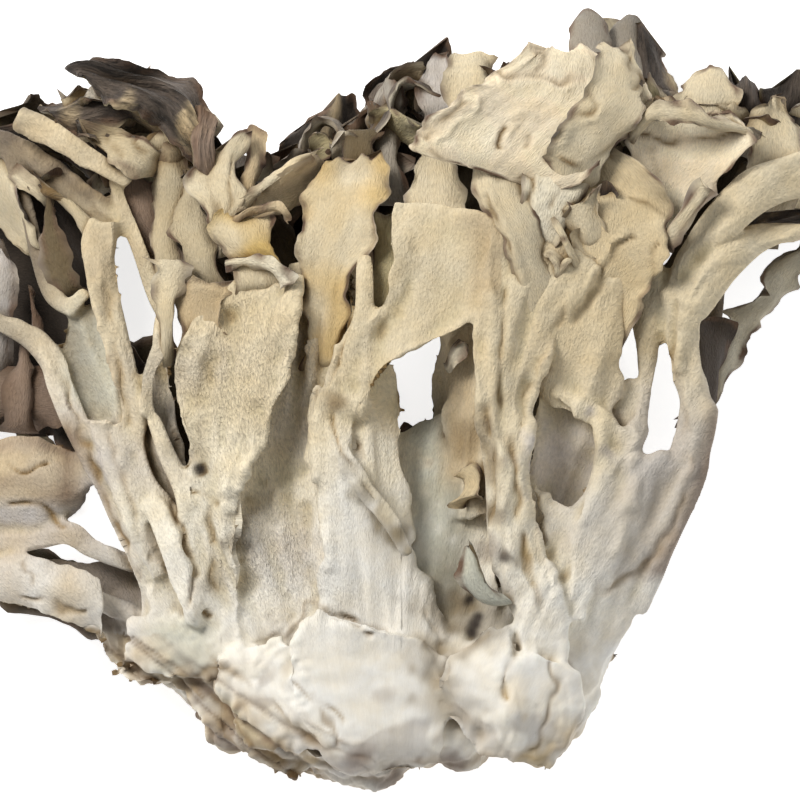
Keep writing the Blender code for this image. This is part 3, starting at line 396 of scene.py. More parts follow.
BASE_SHEETS = {
    "white_shelf": ([
        (-36, 24, 42, -34, 36, 43), (-46, 24, 41, -42, 37, 41),
        (-56, 26, 38, -52, 37, 38)], 0.5, 1, 0.6, 2.2),
    "white_plate": ([
        (-12, 6, 43, 6, 7, 41), (-18, 12, 48.5, 9, 12, 44), (-22, 21, 50, 11, 21, 44),
        (-23, 30, 50.5, 8, 31, 44), (-18.5, 39.5, 50, -4, 34, 48.5)], 1.5, 0, 0.15, 2.2),
    "middle_flow": ([
        (-19, 24, 43, 10, 24, 43), (-17.5, 35, 45, 9, 36, 41), (-15.5, 44, 48, 6, 44, 40),
        (-15, 52, 49, 1, 52, 42), (-16.5, 62, 49, -5, 62, 47), (-18, 71, 47, -8.5, 71, 48),
        (-17.5, 81, 44, -9, 81, 48)], 1.4, 0, 0.5, 2.4),
    "left_hollow": ([
        (-36, 28, 43, -14, 27, 44), (-36, 38, 44, -14, 40, 45), (-35, 50, 44, -14, 52, 44),
        (-33, 62, 43, -15, 66, 43)], -2.6, 0, 0.5, 2.2),
    "ragged_left_plate": ([
        (-31, 12, 42, -13, 10, 47), (-36, 21, 43.5, -17, 20, 49),
        (-34, 31.5, 43.5, -21, 32, 47.5)], 0.5, 0, 1.0, 2.2),
    "right_chunk_left_face": ([
        (16, 11, 43, 22, 9, 44.5), (9.5, 19, 46, 23, 18, 50), (8.5, 26.5, 48, 23, 25, 51.5),
        (13.5, 30, 47, 23, 29, 50.5), (17, 34, 46, 22, 35, 47)], 0.3, 0, 0.6, 3.8),
    "right_chunk_right_face": ([
        (21, 8, 44, 30, 7, 41), (20, 17, 51, 36, 16, 43), (20.5, 25, 52, 36, 25, 44),
        (22, 30, 50, 30, 28, 47)], 0.3, 0, 0.6, 3.8),
    "torn_skin_left": ([
        (-58, 25, 34, -52, 28, 37), (-46, 22.5, 37, -42, 27, 41), (-38, 15, 37, -33, 26, 43),
        (-30, 8.5, 36, -24, 14, 43), (-18, 4.5, 36, -14, 9, 43)], 1.5, 1, 1.2, 1.6),
    "hollow_rib": ([
        (-21, 9, 43, -19, 10, 44), (-24, 14, 45, -22, 15, 46), (-29, 20, 44, -27, 22, 45),
        (-35, 27, 42, -33, 29, 43)], 0.8, 0, 0.6, 1.8),
}
for name, (centre, half) in BASE_LUMPS.items():
    growth.append(lump(name, centre, half))
for name, facts in BASE_SHEETS.items():     # rows, how proud, how rounded, how wavy and how thick
    growth.append(sheet(name, *facts, ragged=0.7, folds=0.12))

# The left stalks rise from the base as flattened, ribbed straps, part, and lean out to the left. Thin webs of
# the same flesh join them, and they roll into tubes where the flesh dried fastest.
LEFT_STALKS = {
    "outer_left_stalk": [
        (-49.5, 33, 36, 4), (-50, 41, 37, 4.5), (-53, 50, 39, 5), (-57.5, 60, 40, 4.6), (-62.5, 69, 40, 4.6),
        (-66, 78, 39, 5), (-69, 85, 37, 5.5), (-71.5, 90.5, 35, 5.2), (-79, 95, 33, 4.2), (-88, 98, 28, 4)],
    "second_left_stalk": [
        (-47, 44, 40, 3.6), (-51, 58, 41, 4), (-53.5, 70, 42, 4.2), (-54.5, 83, 42, 4.6),
        (-57.5, 95, 42, 5), (-59.5, 104, 41, 5.6), (-60, 110, 39.5, 7), (-60, 115.5, 38, 7.6)],
    "third_left_stalk": [
        (-50.3, 77, 44, 2.6), (-50.8, 84, 44, 2.6), (-48.7, 91, 43.5, 3), (-46.8, 98, 42.5, 3),
        (-46, 103, 41, 3)],
    "open_tube_left": [
        (-39.5, 38, 42, 3.4), (-42.5, 48, 43, 4), (-46, 56, 43, 4.2), (-50.5, 63, 42, 3.6),
        (-53, 71, 42, 2.8), (-52.5, 77.5, 42, 2.2)],
    "open_tube_right": [
        (-38.3, 42, 44, 3), (-41.5, 54, 45, 3), (-43, 62, 45, 2.8), (-46, 69, 45, 2.4), (-49, 77, 44, 2)],
    "left_foot_ridge": [
        (-41, 35, 44, 4), (-42, 42, 46, 4), (-45, 50, 46, 4.5), (-50, 60, 44, 4)],
    "rolled_crown_stalk": [
        (-54, 124, 36, 4.5), (-62, 128.5, 37, 5), (-70, 133.5, 36, 5.5), (-77.5, 137, 33, 5)],
    "shaded_crown_stalk": [
        (-57.5, 115, 34, 5.5), (-65, 122, 32, 6), (-76, 129.5, 28, 6), (-86, 134, 25, 5)],
    "hole_side_stalk": [
        (-48, 97, 39, 3.2), (-50.5, 104, 38, 3.2), (-54, 114, 37, 3.2), (-58, 125, 34, 3)],
    "low_left_stalk": [
        (-50, 46, 33, 4), (-57, 48, 36, 4), (-62, 50.5, 37, 4), (-67, 52.5, 37, 4), (-77, 51.5, 36, 4),
        (-88, 51, 33, 4)],
    "left_edge_rim": [
        (-63, 102, 38, 3.5), (-66.5, 98.5, 36, 3.2), (-69.5, 101, 34, 3.2), (-73, 110, 31, 3.2),
        (-76, 120, 30, 3.2), (-79.5, 129, 28, 3)],
    "inner_left_stalk": [
        (-22, 36, 24, 8), (-28, 56, 20, 7), (-34, 80, 16, 6.5), (-42, 100, 14, 6), (-56, 122, 16, 5),
        (-68, 132, 20, 4.5)],
    "inner_low_left_stalk": [
        (-30, 34, 24, 8), (-42, 48, 18, 6), (-56, 70, 14, 5.5), (-72, 86, 14, 5), (-84, 96, 16, 4)],
}
LEFT_SHEETS = {
    "left_web": ([
        (-61, 71, 36, -56, 71, 39), (-65, 79, 35, -55, 80, 38.5), (-68, 89, 34, -56, 91, 38.5),
        (-67, 98, 34, -59, 99, 38)], -1.6, 1, 0.4, 1.4),
    "gap_inner_sheet": ([
        (-52, 58, 36, -42, 58, 38), (-52, 70, 35, -44, 70, 37), (-50.5, 80, 35, -45.5, 80, 35),
        (-50, 88, 35, -47, 88, 35)], -1.5, 1, 0.5, 1.4),
    "second_stalk_front": ([
        (-50.5, 44, 40, -46.5, 45, 41), (-54.5, 54, 41, -50, 54, 43), (-58, 63, 41, -53, 64, 43.5),
        (-61, 70, 40.5, -54.5, 71, 44), (-63, 76, 39, -56.5, 75.5, 42.5)], 1, 0.5, 0.4, 1.8),
    "foot_trough": ([
        (-51, 33, 39, -35, 33, 41), (-50, 40, 40, -36.5, 40, 41.5), (-50, 47, 40, -38, 48, 41.5),
        (-52, 55, 40, -40, 56, 41.5)], -1, 0, 0.3, 1.6),
    "open_tube_wall": ([
        (-45, 40, 39, -39, 40, 41), (-47, 50, 38, -41.5, 50, 42), (-51, 60, 37, -43.5, 61, 41),
        (-53.5, 69, 38, -46.5, 69, 42), (-53, 76, 39, -49.5, 76, 42)], -1.5, 0, 0.4, 1.3),
    "low_left_roll": ([
        (-62.5, 64, 33, -62.5, 69, 34), (-65.5, 56.5, 33, -65.5, 70, 34), (-76, 54, 35, -76, 73, 34),
        (-90, 56, 30, -90, 70, 29)], 4.5, 2, 1, 1.8),
    "low_left_sheet": ([
        (-59.5, 31.5, 38, -60, 45, 40), (-65, 34, 39, -65, 47, 40.5), (-70, 36, 39, -70, 48, 40),
        (-77, 38.5, 37, -77, 49.5, 38), (-90, 41, 33, -90, 49, 34)], 2, 1, 0.8, 1.8),
    "cavity_floor": ([
        (-46, 30, 31, -48, 48, 31), (-56, 31, 30, -57, 48, 31), (-66, 35, 31, -66, 48, 32),
        (-76, 40, 31, -76, 49, 32)], -1.5, 0, 0.5, 1.6),
    "cavity_fold": ([
        (-50, 33, 34, -50, 37, 33), (-56, 35, 33, -56, 40, 34), (-62, 37, 34, -62, 43, 36)], 1, 0, 0.5, 1.4),
    "left_big_sheet": ([
        (-38, 28, 41, -32, 28, 42), (-38.5, 40, 44, -32, 40, 46), (-40, 52, 45, -32.5, 52, 48),
        (-42.3, 64, 46, -31, 63, 50), (-43, 74, 46, -27, 72, 51), (-45.5, 83, 45, -22.5, 84, 51),
        (-43, 94, 45, -20, 94, 49), (-33.5, 104, 44, -19.5, 105, 46)], -1.5, 0, 0.8, 2.4),
}


def grow(stalks, sheets):
    """Adds stalks, and the webs and walls that join them, to what is to be fused."""
    for name, rows in stalks.items():
        growth.extend(stalk(name, rows))
    for name, facts in sheets.items():
        growth.append(sheet(name, *facts, ragged=0.4))


grow(LEFT_STALKS, LEFT_SHEETS)

# The middle stalks stand in front of a deep hollow. They are broad straps, one of them torn from its
# neighbour, with a grooved trough, a rolled tube and the big sheet like a tongue above them.
MIDDLE_STALKS = {
    "torn_rib": [
        (2, 49, 51, 3), (-3, 57.5, 52, 4), (-9.5, 66, 51, 4), (-13, 73, 49, 4.2), (-14, 80, 46, 4.5)],
    "slit_stalk": [
        (-6, 54, 46, 4), (-6.5, 66, 47, 4), (-6.3, 80, 47, 4)],
    "middle_tube": [
        (-12.5, 78, 48, 5.5), (-11, 88, 49, 5), (-7.5, 97, 49, 4.6), (-7, 104, 49, 4), (-7.2, 109, 47, 2)],
    "inner_middle_stalk": [
        (-8, 38, 18, 8), (-12, 60, 16, 7), (-16, 84, 14, 6.5), (-14, 106, 16, 6), (-10, 124, 22, 5),
        (-9, 134, 28, 4)],
}
MIDDLE_SHEETS = {
    "olive_sheet": ([
        (-34, 50, 41, -14, 52, 41), (-33, 62, 42, -15, 64, 42), (-31, 72, 43, -15, 72, 42),
        (-26, 84, 44, -16, 84, 42), (-23, 95, 42, -16, 95, 42),
        (-23, 107, 41, -14, 107, 42)], -2, 1, 0.6, 1.8),
    "middle_trough": ([
        (-20, 74, 42, -12, 74, 45), (-19, 87, 44, -11.5, 87, 46), (-18, 97, 44, -9, 97, 46),
        (-18, 108, 42, -9.5, 108, 44)], -1.5, 1, 0.6, 1.3),
    "pale_web": ([
        (-6, 50, 46, 3.2, 52, 41), (-6, 62, 47, 2, 62, 42.5), (-6, 73, 47, 0, 73, 42.5),
        (-6, 80, 47, 0, 79, 41), (-5, 88, 49, -1, 87, 45)], 0.4, 1, 0.5, 1.3),
    "tongue_sheet": ([
        (-14, 76, 47, -7, 77, 49), (-12.5, 84, 49, -3.5, 85, 52), (-9.5, 91, 50, 2.5, 90, 52.5),
        (-5, 98, 51, 14, 95.5, 52), (-2.5, 105, 52, 17.5, 103, 51), (-2.5, 112, 52, 18.5, 111, 51),
        (-1.5, 120, 49, 18, 117.5, 51)], -1.4, 0, 0.6, 1.8),
    "back_wall": ([
        (-3, 34, 38, 21, 34, 38), (-3, 50, 38, 19, 50, 40), (-3, 64, 37, 17, 64, 39),
        (-1, 74, 35, 14, 77, 36)], -2, 2, 0.8, 1.8),
    "dark_back_stalk": ([
        (4, 60, 24, 12, 60, 25), (5.5, 74, 25, 13, 74, 29), (6.5, 85, 27, 14, 85, 36),
        (7, 96, 30, 16, 96, 45)], 0, 0, 0.6, 1.3),
    "tan_flank": ([
        (11, 56, 38, 20, 57, 44), (9.5, 68, 36, 18.5, 69, 44), (9.5, 80, 36, 18, 80, 44),
        (10.5, 92, 36, 18, 92, 44)], 1, 1, 0.8, 1.3),
}
grow(MIDDLE_STALKS, MIDDLE_SHEETS)
growth.append(lump("knot", (-11, 79, 46), (4.5, 4, 5)))

# The right stalks: the main one, broad and folded into long ridges, and the right trunk, which parts into two
# arms. A wide outer wall closes the hollow between them.
RIGHT_STALKS = {
    "main_right_stalk": [
        (28, 24, 44, 10), (28, 36, 47, 11), (24.5, 46, 48, 11.5), (22, 56, 49, 10.5), (21, 66, 49.5, 9),
        (20.5, 77, 48, 9), (21, 88, 46, 10)],
    "thin_right_stalk": [
        (44, 63, 45, 4), (46, 71, 43, 4), (48.5, 79, 41, 3.4), (49.5, 87, 40, 3.6), (49.5, 95, 42, 4.8),
        (50, 103, 42, 6), (49.5, 112, 42, 6)],
    "right_trunk": [
        (46, 38, 37, 7), (50.5, 49, 40, 7.5), (55, 60, 41, 8), (58.5, 70, 41, 7), (59, 78, 41, 6.5),
        (57.5, 87, 42, 6), (56.5, 95, 43, 7), (55.5, 103, 44, 8)],
    "upper_right_arm": [
        (55.5, 100, 44, 7), (58, 110, 45, 5), (65, 116.5, 46, 7.5), (70.5, 121.5, 45.5, 9.5),
        (78, 124.5, 42, 9), (88, 126, 38, 8)],
    "lower_right_arm": [
        (57, 98, 44, 7.5), (63, 105.5, 44.5, 7.2), (68, 110, 43.5, 6.5), (75.5, 113.3, 41, 4.6),
        (87, 114.5, 37, 3.4)],
    "short_right_stalk": [
        (50, 64, 40, 5), (43.5, 73, 45, 4.5), (38, 77.5, 46, 4.5), (31, 82.5, 46, 4)],
    "inner_right_stalk": [
        (16, 36, 20, 8), (20, 58, 18, 7), (24, 82, 16, 7), (28, 106, 18, 6.5), (30, 126, 26, 6),
        (32, 140, 34, 5)],
    "inner_far_right_stalk": [
        (34, 36, 24, 7), (44, 52, 20, 6), (58, 68, 20, 5.5), (62, 86, 18, 5), (64, 106, 16, 5),
        (72, 128, 20, 4.5)],
}
RIGHT_SHEETS = {
    "main_stalk_fan": ([
        (19, 50, 49, 26.5, 50, 48), (18.2, 60, 51, 26, 61, 49.5), (17, 70, 52, 25.5, 71, 49.5),
        (14.8, 80, 52.5, 27, 81, 48.5), (14, 90, 53, 30, 89, 48.5), (15.5, 99, 53, 34, 97, 48),
        (17, 108, 52, 41, 106, 48), (17, 117, 50, 33, 114, 48)], 0.6, 1, 0.8, 2.6),
    "right_outer_wall": ([
        (28, 22, 40, 42, 24, 32), (31, 34, 44, 47, 37, 36), (34, 47, 47, 52, 47, 38),
        (36, 58, 47.5, 56, 57, 39), (41, 69, 46, 60, 69, 40)], 0.5, 1, 0.5, 2.4),
    "pouch_wall": ([
        (26, 34, 41, 40, 34, 41), (26, 48, 42, 42, 48, 41), (26, 62, 41, 42, 62, 41),
        (27, 74, 42, 41, 75, 42), (28, 84, 45, 39, 84, 44)], -3.2, 1, 0.6, 1.3),
    "right_smooth_sheet": ([
        (30, 79, 44, 41, 75, 42), (26.5, 85, 46, 45, 83, 43), (27, 95, 47.5, 44.5, 93, 45),
        (33, 107, 48, 47, 105, 45)], 1.6, 0, 0.4, 1.8),
    "pouch_low_front": ([
        (25, 36, 44, 37, 36, 45), (27, 47, 45, 39, 47, 46), (28, 55, 45, 40, 55, 46),
        (26, 64, 44, 41, 64, 45)], -0.5, -5, 0.4, 1.8),
    "thin_stalk_web": ([
        (42, 68, 40, 49, 68, 41), (41.5, 76, 41, 49.5, 77, 41.5),
        (42.5, 84, 41, 49, 83.5, 41)], 0, 0, 0.8, 1.6),
    "pouch_leaf": ([
        (31.5, 57, 43, 43, 59, 44), (37, 62.5, 44, 43, 64, 45), (38.8, 69, 44.5, 43, 70, 45.5),
        (38, 75.5, 45, 42, 76, 45.5)], 1, 1, 0.6, 2),
}
grow(RIGHT_STALKS, RIGHT_SHEETS)

# Base, stalks, webs and thick sheets grew together as one flesh, so here they are fused, smoothed where they
# meet, wrinkled lengthwise as drying left them, and painted: white at the cut, cream above, mauve in webs.
VOXEL = 0.55            # grain of the fused flesh, in millimetres
SEAM = 0.32             # how far the parts swell while they are fused, in millimetres, so that they all meet
GROWN_FROM = numpy.array((-3.0, -30.0))     # where the stalks' lines would meet, below the cut


def choose(*pieces):
    """Selects these pieces alone, the first one as the active one."""
    bpy.ops.object.select_all(action="DESELECT")
    for piece in pieces:
        piece.select_set(True)
    bpy.context.view_layer.objects.active = pieces[0]


def finish_with(piece, kind, **settings):
    """Adds a modifier to the piece and applies it."""
    choose(piece)
    bpy.ops.object.modifier_add(type=kind)
    modifier = piece.modifiers[-1]
    for key, value in settings.items():
        setattr(modifier, key, value)
    bpy.ops.object.modifier_apply(modifier=modifier.name)


def join(pieces, name):
    """Makes one piece of them, with a new name."""
    choose(*pieces)
    bpy.ops.object.join()
    pieces[0].name = name
    return pieces[0]


def gather(items, key, width, kind=numpy.float32):
    """The values that the items hold under this key, a row of this width for each."""
    values = numpy.empty(len(items) * width, kind)
    items.foreach_get(key, values)
    return values.reshape(-1, width)


def points_of(piece):
    """The piece's points, in millimetres of the layout, and the ways that its surface faces."""
    places = gather(piece.data.vertices, "co", 3).astype(float) / MM - FROM_LAYOUT
    return places, gather(piece.data.vertices, "normal", 3).astype(float)


def spread(piece, values, rounds):
    """Evens a value out over neighbouring points."""
    a, b = gather(piece.data.edges, "vertices", 2, numpy.int32).T
    places, _ = points_of(piece)
    short = numpy.linalg.norm(places[a] - places[b], axis=1) < 2.5        # not across the face of a cut
    a, b = a[short], b[short]
    count = len(values)
    near = numpy.bincount(a, minlength=count) + numpy.bincount(b, minlength=count)
    for _ in range(rounds):
        total = numpy.bincount(a, values[b], count) + numpy.bincount(b, values[a], count)
        values = 0.4 * values + 0.6 * total / numpy.maximum(near, 1)
    return values


def hollows(piece, reach):
    """How far each point lies in a hollow, from 0 on the flat up to 1, or down to -1 on a ridge."""
    places, ways = points_of(piece)
    even = numpy.stack([spread(piece, places[:, k].copy(), reach) for k in range(3)], axis=1)
    return numpy.clip(((even - places) * ways).sum(axis=1) / 0.6, -1, 1)


def give_colour(piece, colour):
    """Paints the piece, one colour for each point."""
    layer = piece.data.color_attributes.new("tone", "FLOAT_COLOR", "POINT")
    full = numpy.hstack((numpy.clip(colour, 0.004, 0.95), numpy.ones((len(colour), 1))))
    layer.data.foreach_set("color", full.astype(numpy.float32).ravel())


PRESSED = 3 * MM        # what lay lower than this was pressed flat by the tray it dried on
cluster = []


def hand_over(piece):
    """Presses flat what lay on the tray, shades the piece smooth, and makes it part of the cluster."""
    points = gather(piece.data.vertices, "co", 3)
    height = points[:, 2]
    points[:, 2] = numpy.where(height < PRESSED, PRESSED * numpy.exp(height / PRESSED - 1), height)
    piece.data.vertices.foreach_set("co", points.ravel())
    piece.data.update()
    cluster.append(piece)
    choose(piece)
    bpy.ops.object.shade_smooth_by_angle(angle=math.radians(62))
    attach(piece, "root")
    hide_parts("fruiting_body")


def mix(colour, other, share):
    """The colour, with this share of the other one in it."""
    return colour + (other - colour) * numpy.clip(share, 0, 1)[:, None]


def lined(places, ways, line, half):
    """How near each front point lies to a line over the flesh: 1 on it, 0 well off it and past its ends."""
    line = numpy.array(line, float)
    share = numpy.zeros(len(places))
    low, high = line.min(axis=0) - half * 3, line.max(axis=0) + half * 3
    inside = ((places[:, 0] > low[0]) & (places[:, 0] < high[0]) & (places[:, 1] > low[1])
              & (places[:, 1] < high[1]) & (ways[:, 2] > 0.1) & (places[:, 2] > 34))
    near = numpy.flatnonzero(inside)
    if not len(near):
        return share
    t = numpy.linspace(0, 1, 40 * len(line))
    smooth = along(line, t)
    flat = places[near, :2]
    wander = numpy.stack((swell(flat, 2.2, 41), swell(flat, 2.2, 42)), axis=1)
    gaps = numpy.linalg.norm((flat + 0.4 * wander)[:, None] - smooth[None], axis=2)
    best = gaps.argmin(axis=1)
    fade = numpy.clip(numpy.sin(math.pi * t[best]) * 3, 0, 1)
    share[near] = numpy.exp(-(gaps[numpy.arange(len(near)), best] / half) ** 2) * fade
    share[near] *= numpy.clip(0.8 + 0.5 * swell(flat, 4, 43), 0.2, 1)
    return share


def slope(values, start, width, most=1):
    """From 0 at the start up to 1 this much further on, or further back if the width is below 0."""
    return numpy.clip((values - start) / width, 0, most)


def band(values, middle, width, full, most=1):
    """full at the middle and one less for every width away from it, held between 0 and most."""
    return numpy.clip(full - abs(values - middle) / width, 0, most)


def round_spot(places, x, y, reach):
    """From 1 in the middle of a round spot on the front down to 0 well away from it."""
    return numpy.exp(-((places[:, 0] - x) ** 2 + (places[:, 1] - y) ** 2) / reach ** 2)


def patchy(places, size, seed, mean, more, most=1):
    """A share that goes up and down over the flesh in patches, held between 0 and most."""
    return numpy.clip(mean + more * swell(places, size, seed), 0, most)


# Ridges, creases and threads that drying and tearing left on the front of the flesh: how high each stands,
# half how wide it is, how dark it is painted (brown on threads, rims and torn skin, painted shade in the
# deeper grooves, cracks, slits and pits), and its line over the flesh.
LINES = {
    "fold_rib": (0.8, 0.8, 0, [(33, 96), (36, 101), (39, 105.5), (42, 110)]),
    "fold_rib_groove": (-0.6, 0.8, 0.4, [(34.5, 95), (37.8, 100), (41, 105), (44, 110)]),
    "main_ridge_left": (0.9, 0.8, 0, [(17.5, 108), (18.5, 98), (18, 88), (18.5, 78), (20.5, 68), (21, 56),
        (24, 42)]),
    "main_ridge_middle": (0.5, 1.2, 0, [(24, 104), (22.5, 92), (22, 82), (22.5, 72), (24, 62), (26, 50),
        (29, 36)]),
    "main_ridge_right": (0.9, 0.8, 0, [(36, 104), (31, 95), (27.5, 84), (25.5, 73), (27, 60), (30, 48),
        (32, 36)]),
    "main_groove_left": (-0.9, 0.6, 0.5, [(21, 103), (20.3, 94), (19.7, 84), (20, 76)]),
    "main_groove_low": (-1, 0.7, 0.8, [(21, 74), (23, 67), (23.5, 60), (25.5, 48), (28, 38)]),
    "main_left_groove": (-0.8, 0.8, 0.7, [(17, 80), (17.5, 72), (18.5, 64), (18, 55)]),
    "main_shallow": (-0.9, 2.2, 0.1, [(26, 102), (25, 93), (24.5, 84), (23.5, 76)]),
    "main_groove_right": (-0.8, 0.6, 0.4, [(33.5, 100), (29.5, 92), (26, 82), (24.3, 74)]),
    "foot_crack": (-0.9, 0.7, 0.5, [(-38, 61), (-37.8, 54), (-37.3, 47), (-37, 41)]),
    "sheet_crack": (-1.1, 0.45, 1, [(-42, 61.8), (-39.5, 61.2), (-36, 58.8)]),
    "shaded_sheet_pit": (-1.1, 1, 1, [(-40.5, 67.5), (-39.8, 66.2), (-39.3, 64.8)]),
    "pocket": (-1.1, 1.6, 0.3, [(-33.2, 58), (-32.4, 53), (-31.5, 47)]),
    "pocket_rim": (0.8, 0.5, 0, [(-35.3, 60), (-35.2, 53), (-34, 46)]),
    "pocket_right": (0.6, 0.6, 0.3, [(-30.6, 57), (-29.6, 52), (-29.8, 48)]),
    "first_shadow": (-0.5, 0.9, 0.9, [(-64.5, 74), (-60.5, 64), (-56.5, 54), (-52.5, 43)]),
    "foot_pit": (-1.1, 0.8, 1, [(-39, 37.8), (-38.3, 37), (-37.6, 36.2)]),
    "shelf_pit": (-1.1, 0.8, 1, [(-38, 29.4), (-37, 28.5), (-36, 27.6)]),
    "foot_crack_left": (-1.2, 0.6, 0.6, [(-46, 60), (-43, 52), (-41, 46), (-41.5, 38)]),
    "plate_slit": (-1.6, 0.5, 0.9, [(-13.5, 37.4), (-10, 36), (-8, 34.3), (-5.8, 33.2)]),
    "plate_valley": (-1.5, 2.6, 0.2, [(9, 32), (8, 26), (10, 20), (14, 15), (17, 11)]),
    "chunk_crack": (-0.8, 0.45, 0.8, [(23, 31), (21.5, 27), (20.5, 24), (21.5, 20)]),
    "chunk_right_crease": (-0.6, 0.6, 0.6, [(29.5, 29), (31, 24), (30, 18), (28, 12), (26, 9)]),
    "chunk_left_rim": (0.5, 0.6, 0.3, [(9, 27), (9.5, 22), (12, 18), (16, 14.5)]),
    "chunk_top_rim": (0.5, 0.6, 0.4, [(8.5, 27.5), (12.5, 30), (16, 31), (18, 34.5)]),
    "hollow_behind_chunk": (-1.1, 2.6, 0.15, [(11.5, 33), (13.5, 36), (16, 39.5), (16, 43)]),
    "shaded_pit": (-1.1, 1.4, 0.5, [(15.6, 38.6), (15.3, 36.5), (14.8, 34), (14.4, 31.8)]),
    "plate_thread_high": (-0.5, 0.5, 0.6, [(-22, 24.5), (-18, 20.5), (-14.5, 19), (-10.5, 15)]),
    "plate_thread_low": (0.5, 0.6, 0.4, [(-21, 18.5), (-16, 15), (-12, 12.5), (-7, 11)]),
    "plate_fold": (-0.5, 0.5, 0.6, [(-17.5, 22), (-15.5, 17.5), (-13, 14), (-12.5, 10)]),
    "hollow_ridge": (1.0, 1.3, 0, [(-24.5, 63), (-23.5, 52), (-22, 41)]),
    "hollow_dip_left": (-1.1, 2.2, 0.15, [(-31, 62), (-30.5, 51), (-29, 41)]),
    "hollow_dip_right": (-1.0, 1.6, 0.15, [(-19, 60), (-19, 50), (-18, 42)]),
    "plate_edge": (0.4, 0.5, 0.5, [(-23, 31.5), (-20.3, 36), (-18, 39.5), (-13.5, 38)]),
    "skin_thread_high": (-0.5, 0.7, 0.7, [(-55, 25), (-48, 23), (-42, 24.5), (-37, 26.5), (-33, 26),
        (-29, 22)]),
    "skin_thread_left": (0.5, 0.6, 0.6, [(-46, 25), (-40, 21), (-36, 14.5), (-31, 10.5), (-25, 7)]),
    "skin_thread_middle": (-0.7, 0.7, 0.7, [(-38, 22), (-34, 17), (-30, 12), (-25, 8.5), (-19, 6)]),
    "skin_thread_right": (-0.5, 0.6, 0.5, [(-26, 21), (-22, 16), (-18, 12), (-12, 9.5), (-5, 8)]),
    "skin_thread_low": (-0.5, 0.5, 0.5, [(-18, 8), (-12, 6), (-5, 3.5), (0, 6)]),
    "base_rim": (0.4, 0.8, 0.4, [(0, 6.5), (6, 7.5), (12, 7), (18, 9.5), (26, 8), (32, 11), (38, 18)]),
    "middle_crease": (-0.6, 0.6, 0.25, [(5, 42), (5.5, 37), (9.5, 30)]),
    "first_ridge": (0.8, 0.8, 0, [(-71, 89), (-67.5, 80), (-64.5, 72), (-60, 62), (-56, 52)]),
    "second_ridge": (0.8, 0.8, 0, [(-61.5, 104), (-59.5, 94), (-57.2, 84), (-55.5, 74)]),
    "second_front_ridge": (0.7, 0.9, 0, [(-62, 76), (-58.5, 66), (-54.5, 56), (-51, 47)]),
    "second_front_groove": (-0.9, 0.8, 0.4, [(-59, 75), (-56, 66), (-52.5, 56), (-49, 47)]),
    "tube_ridge": (0.7, 0.8, 0, [(-50.5, 62), (-46.5, 55), (-43.5, 48), (-41.5, 40)]),
    "trunk_ridge": (0.9, 0.9, 0, [(57, 100), (56, 88), (58, 78), (58.5, 68), (54, 56)]),
    "trunk_groove": (-0.7, 0.8, 0.3, [(55, 102), (54.5, 90), (56.5, 80), (57.5, 72)]),
    "wall_low_rim": (-0.9, 0.9, 0.6, [(57.5, 64), (54.5, 55), (50, 47.5), (44.5, 43.5), (38.5, 41)]),
    "roll_crack": (-1.1, 0.4, 1, [(-79, 67.5), (-76, 65.5), (-73, 66.5), (-70, 68)]),
    "roll_edge": (-0.9, 0.6, 1, [(-79.5, 59.5), (-74, 59.3), (-70, 57), (-67.5, 54)]),
    "low_sheet_crease": (-0.8, 0.5, 0.8, [(-76, 48.5), (-75.3, 46), (-73.5, 45), (-73.8, 42.5)]),
    "low_sheet_fold": (-0.8, 0.6, 0.6, [(-77, 40.5), (-71, 40), (-66, 37.5), (-62, 38)]),
    "web_rim": (0.7, 0.6, 0.1, [(-64.5, 77), (-61.5, 75), (-58.5, 75.5), (-56.5, 78)]),
    "wall_groove": (-0.5, 1.8, 0.05, [(52, 66), (51, 58), (47, 50), (42, 43)]),
    "smooth_sheet_ridge": (0.7, 1.8, 0, [(40, 104), (39.5, 94), (39, 84), (38, 77)]),
    "tongue_groove": (-0.7, 1.4, 0.1, [(-8, 86), (-3, 94), (2, 103), (4, 113)]),
    "trough_groove": (-1.1, 0.9, 0.6, [(-15.5, 104), (-15, 95), (-16, 86), (-17, 79)]),
    "trough_ridge": (0.9, 0.7, 0, [(-12.8, 101), (-12.6, 92), (-13.5, 84)]),
    "tube_slit": (-1.6, 0.5, 0.7, [(-9.8, 104), (-10.2, 98), (-12, 89), (-15, 82)]),
    "membrane_slit": (-1.3, 0.45, 0.7, [(-7.5, 80), (-9, 76), (-8.3, 70)]),
    "torn_edge": (-1.3, 0.5, 0.6, [(-14, 78), (-12.5, 71), (-8, 64.5), (-4.5, 60)]),
    "flow_fold": (0.8, 0.8, 0, [(-17, 79), (-17, 68), (-15.5, 56), (-13.5, 46)]),
    "sheet_fold": (1.3, 3.0, 0, [(-22, 101), (-27, 86), (-31, 72), (-35, 60)]),
    "sheet_groove": (-0.9, 2.6, 0.25, [(-33, 100), (-37, 88), (-40, 76), (-41, 66)]),
    "second_groove": (-1.2, 0.9, 0.5, [(-59, 104), (-57.5, 94), (-56, 84), (-54.5, 74)]),
    "first_groove": (-1.0, 0.8, 0.5, [(-68, 86), (-65.5, 78), (-62, 68), (-58, 57), (-54, 47)]),
    "sheet_fold_left": (0.8, 1.6, 0, [(-36, 97), (-40, 90), (-43, 82)]),
    "sheet_groove_right": (-0.6, 2, 0.1, [(-22, 98), (-25, 86), (-29, 74)]),
    "wall_ridge": (1.2, 1.6, 0, [(46, 77), (47, 66), (45, 55), (40, 44)]),
}
# brown for threads, rims and torn edges, also used as painted shade in creases, pits and shadows
CREASE_BROWN_AND_SHADE = paint(150, 124, 84)

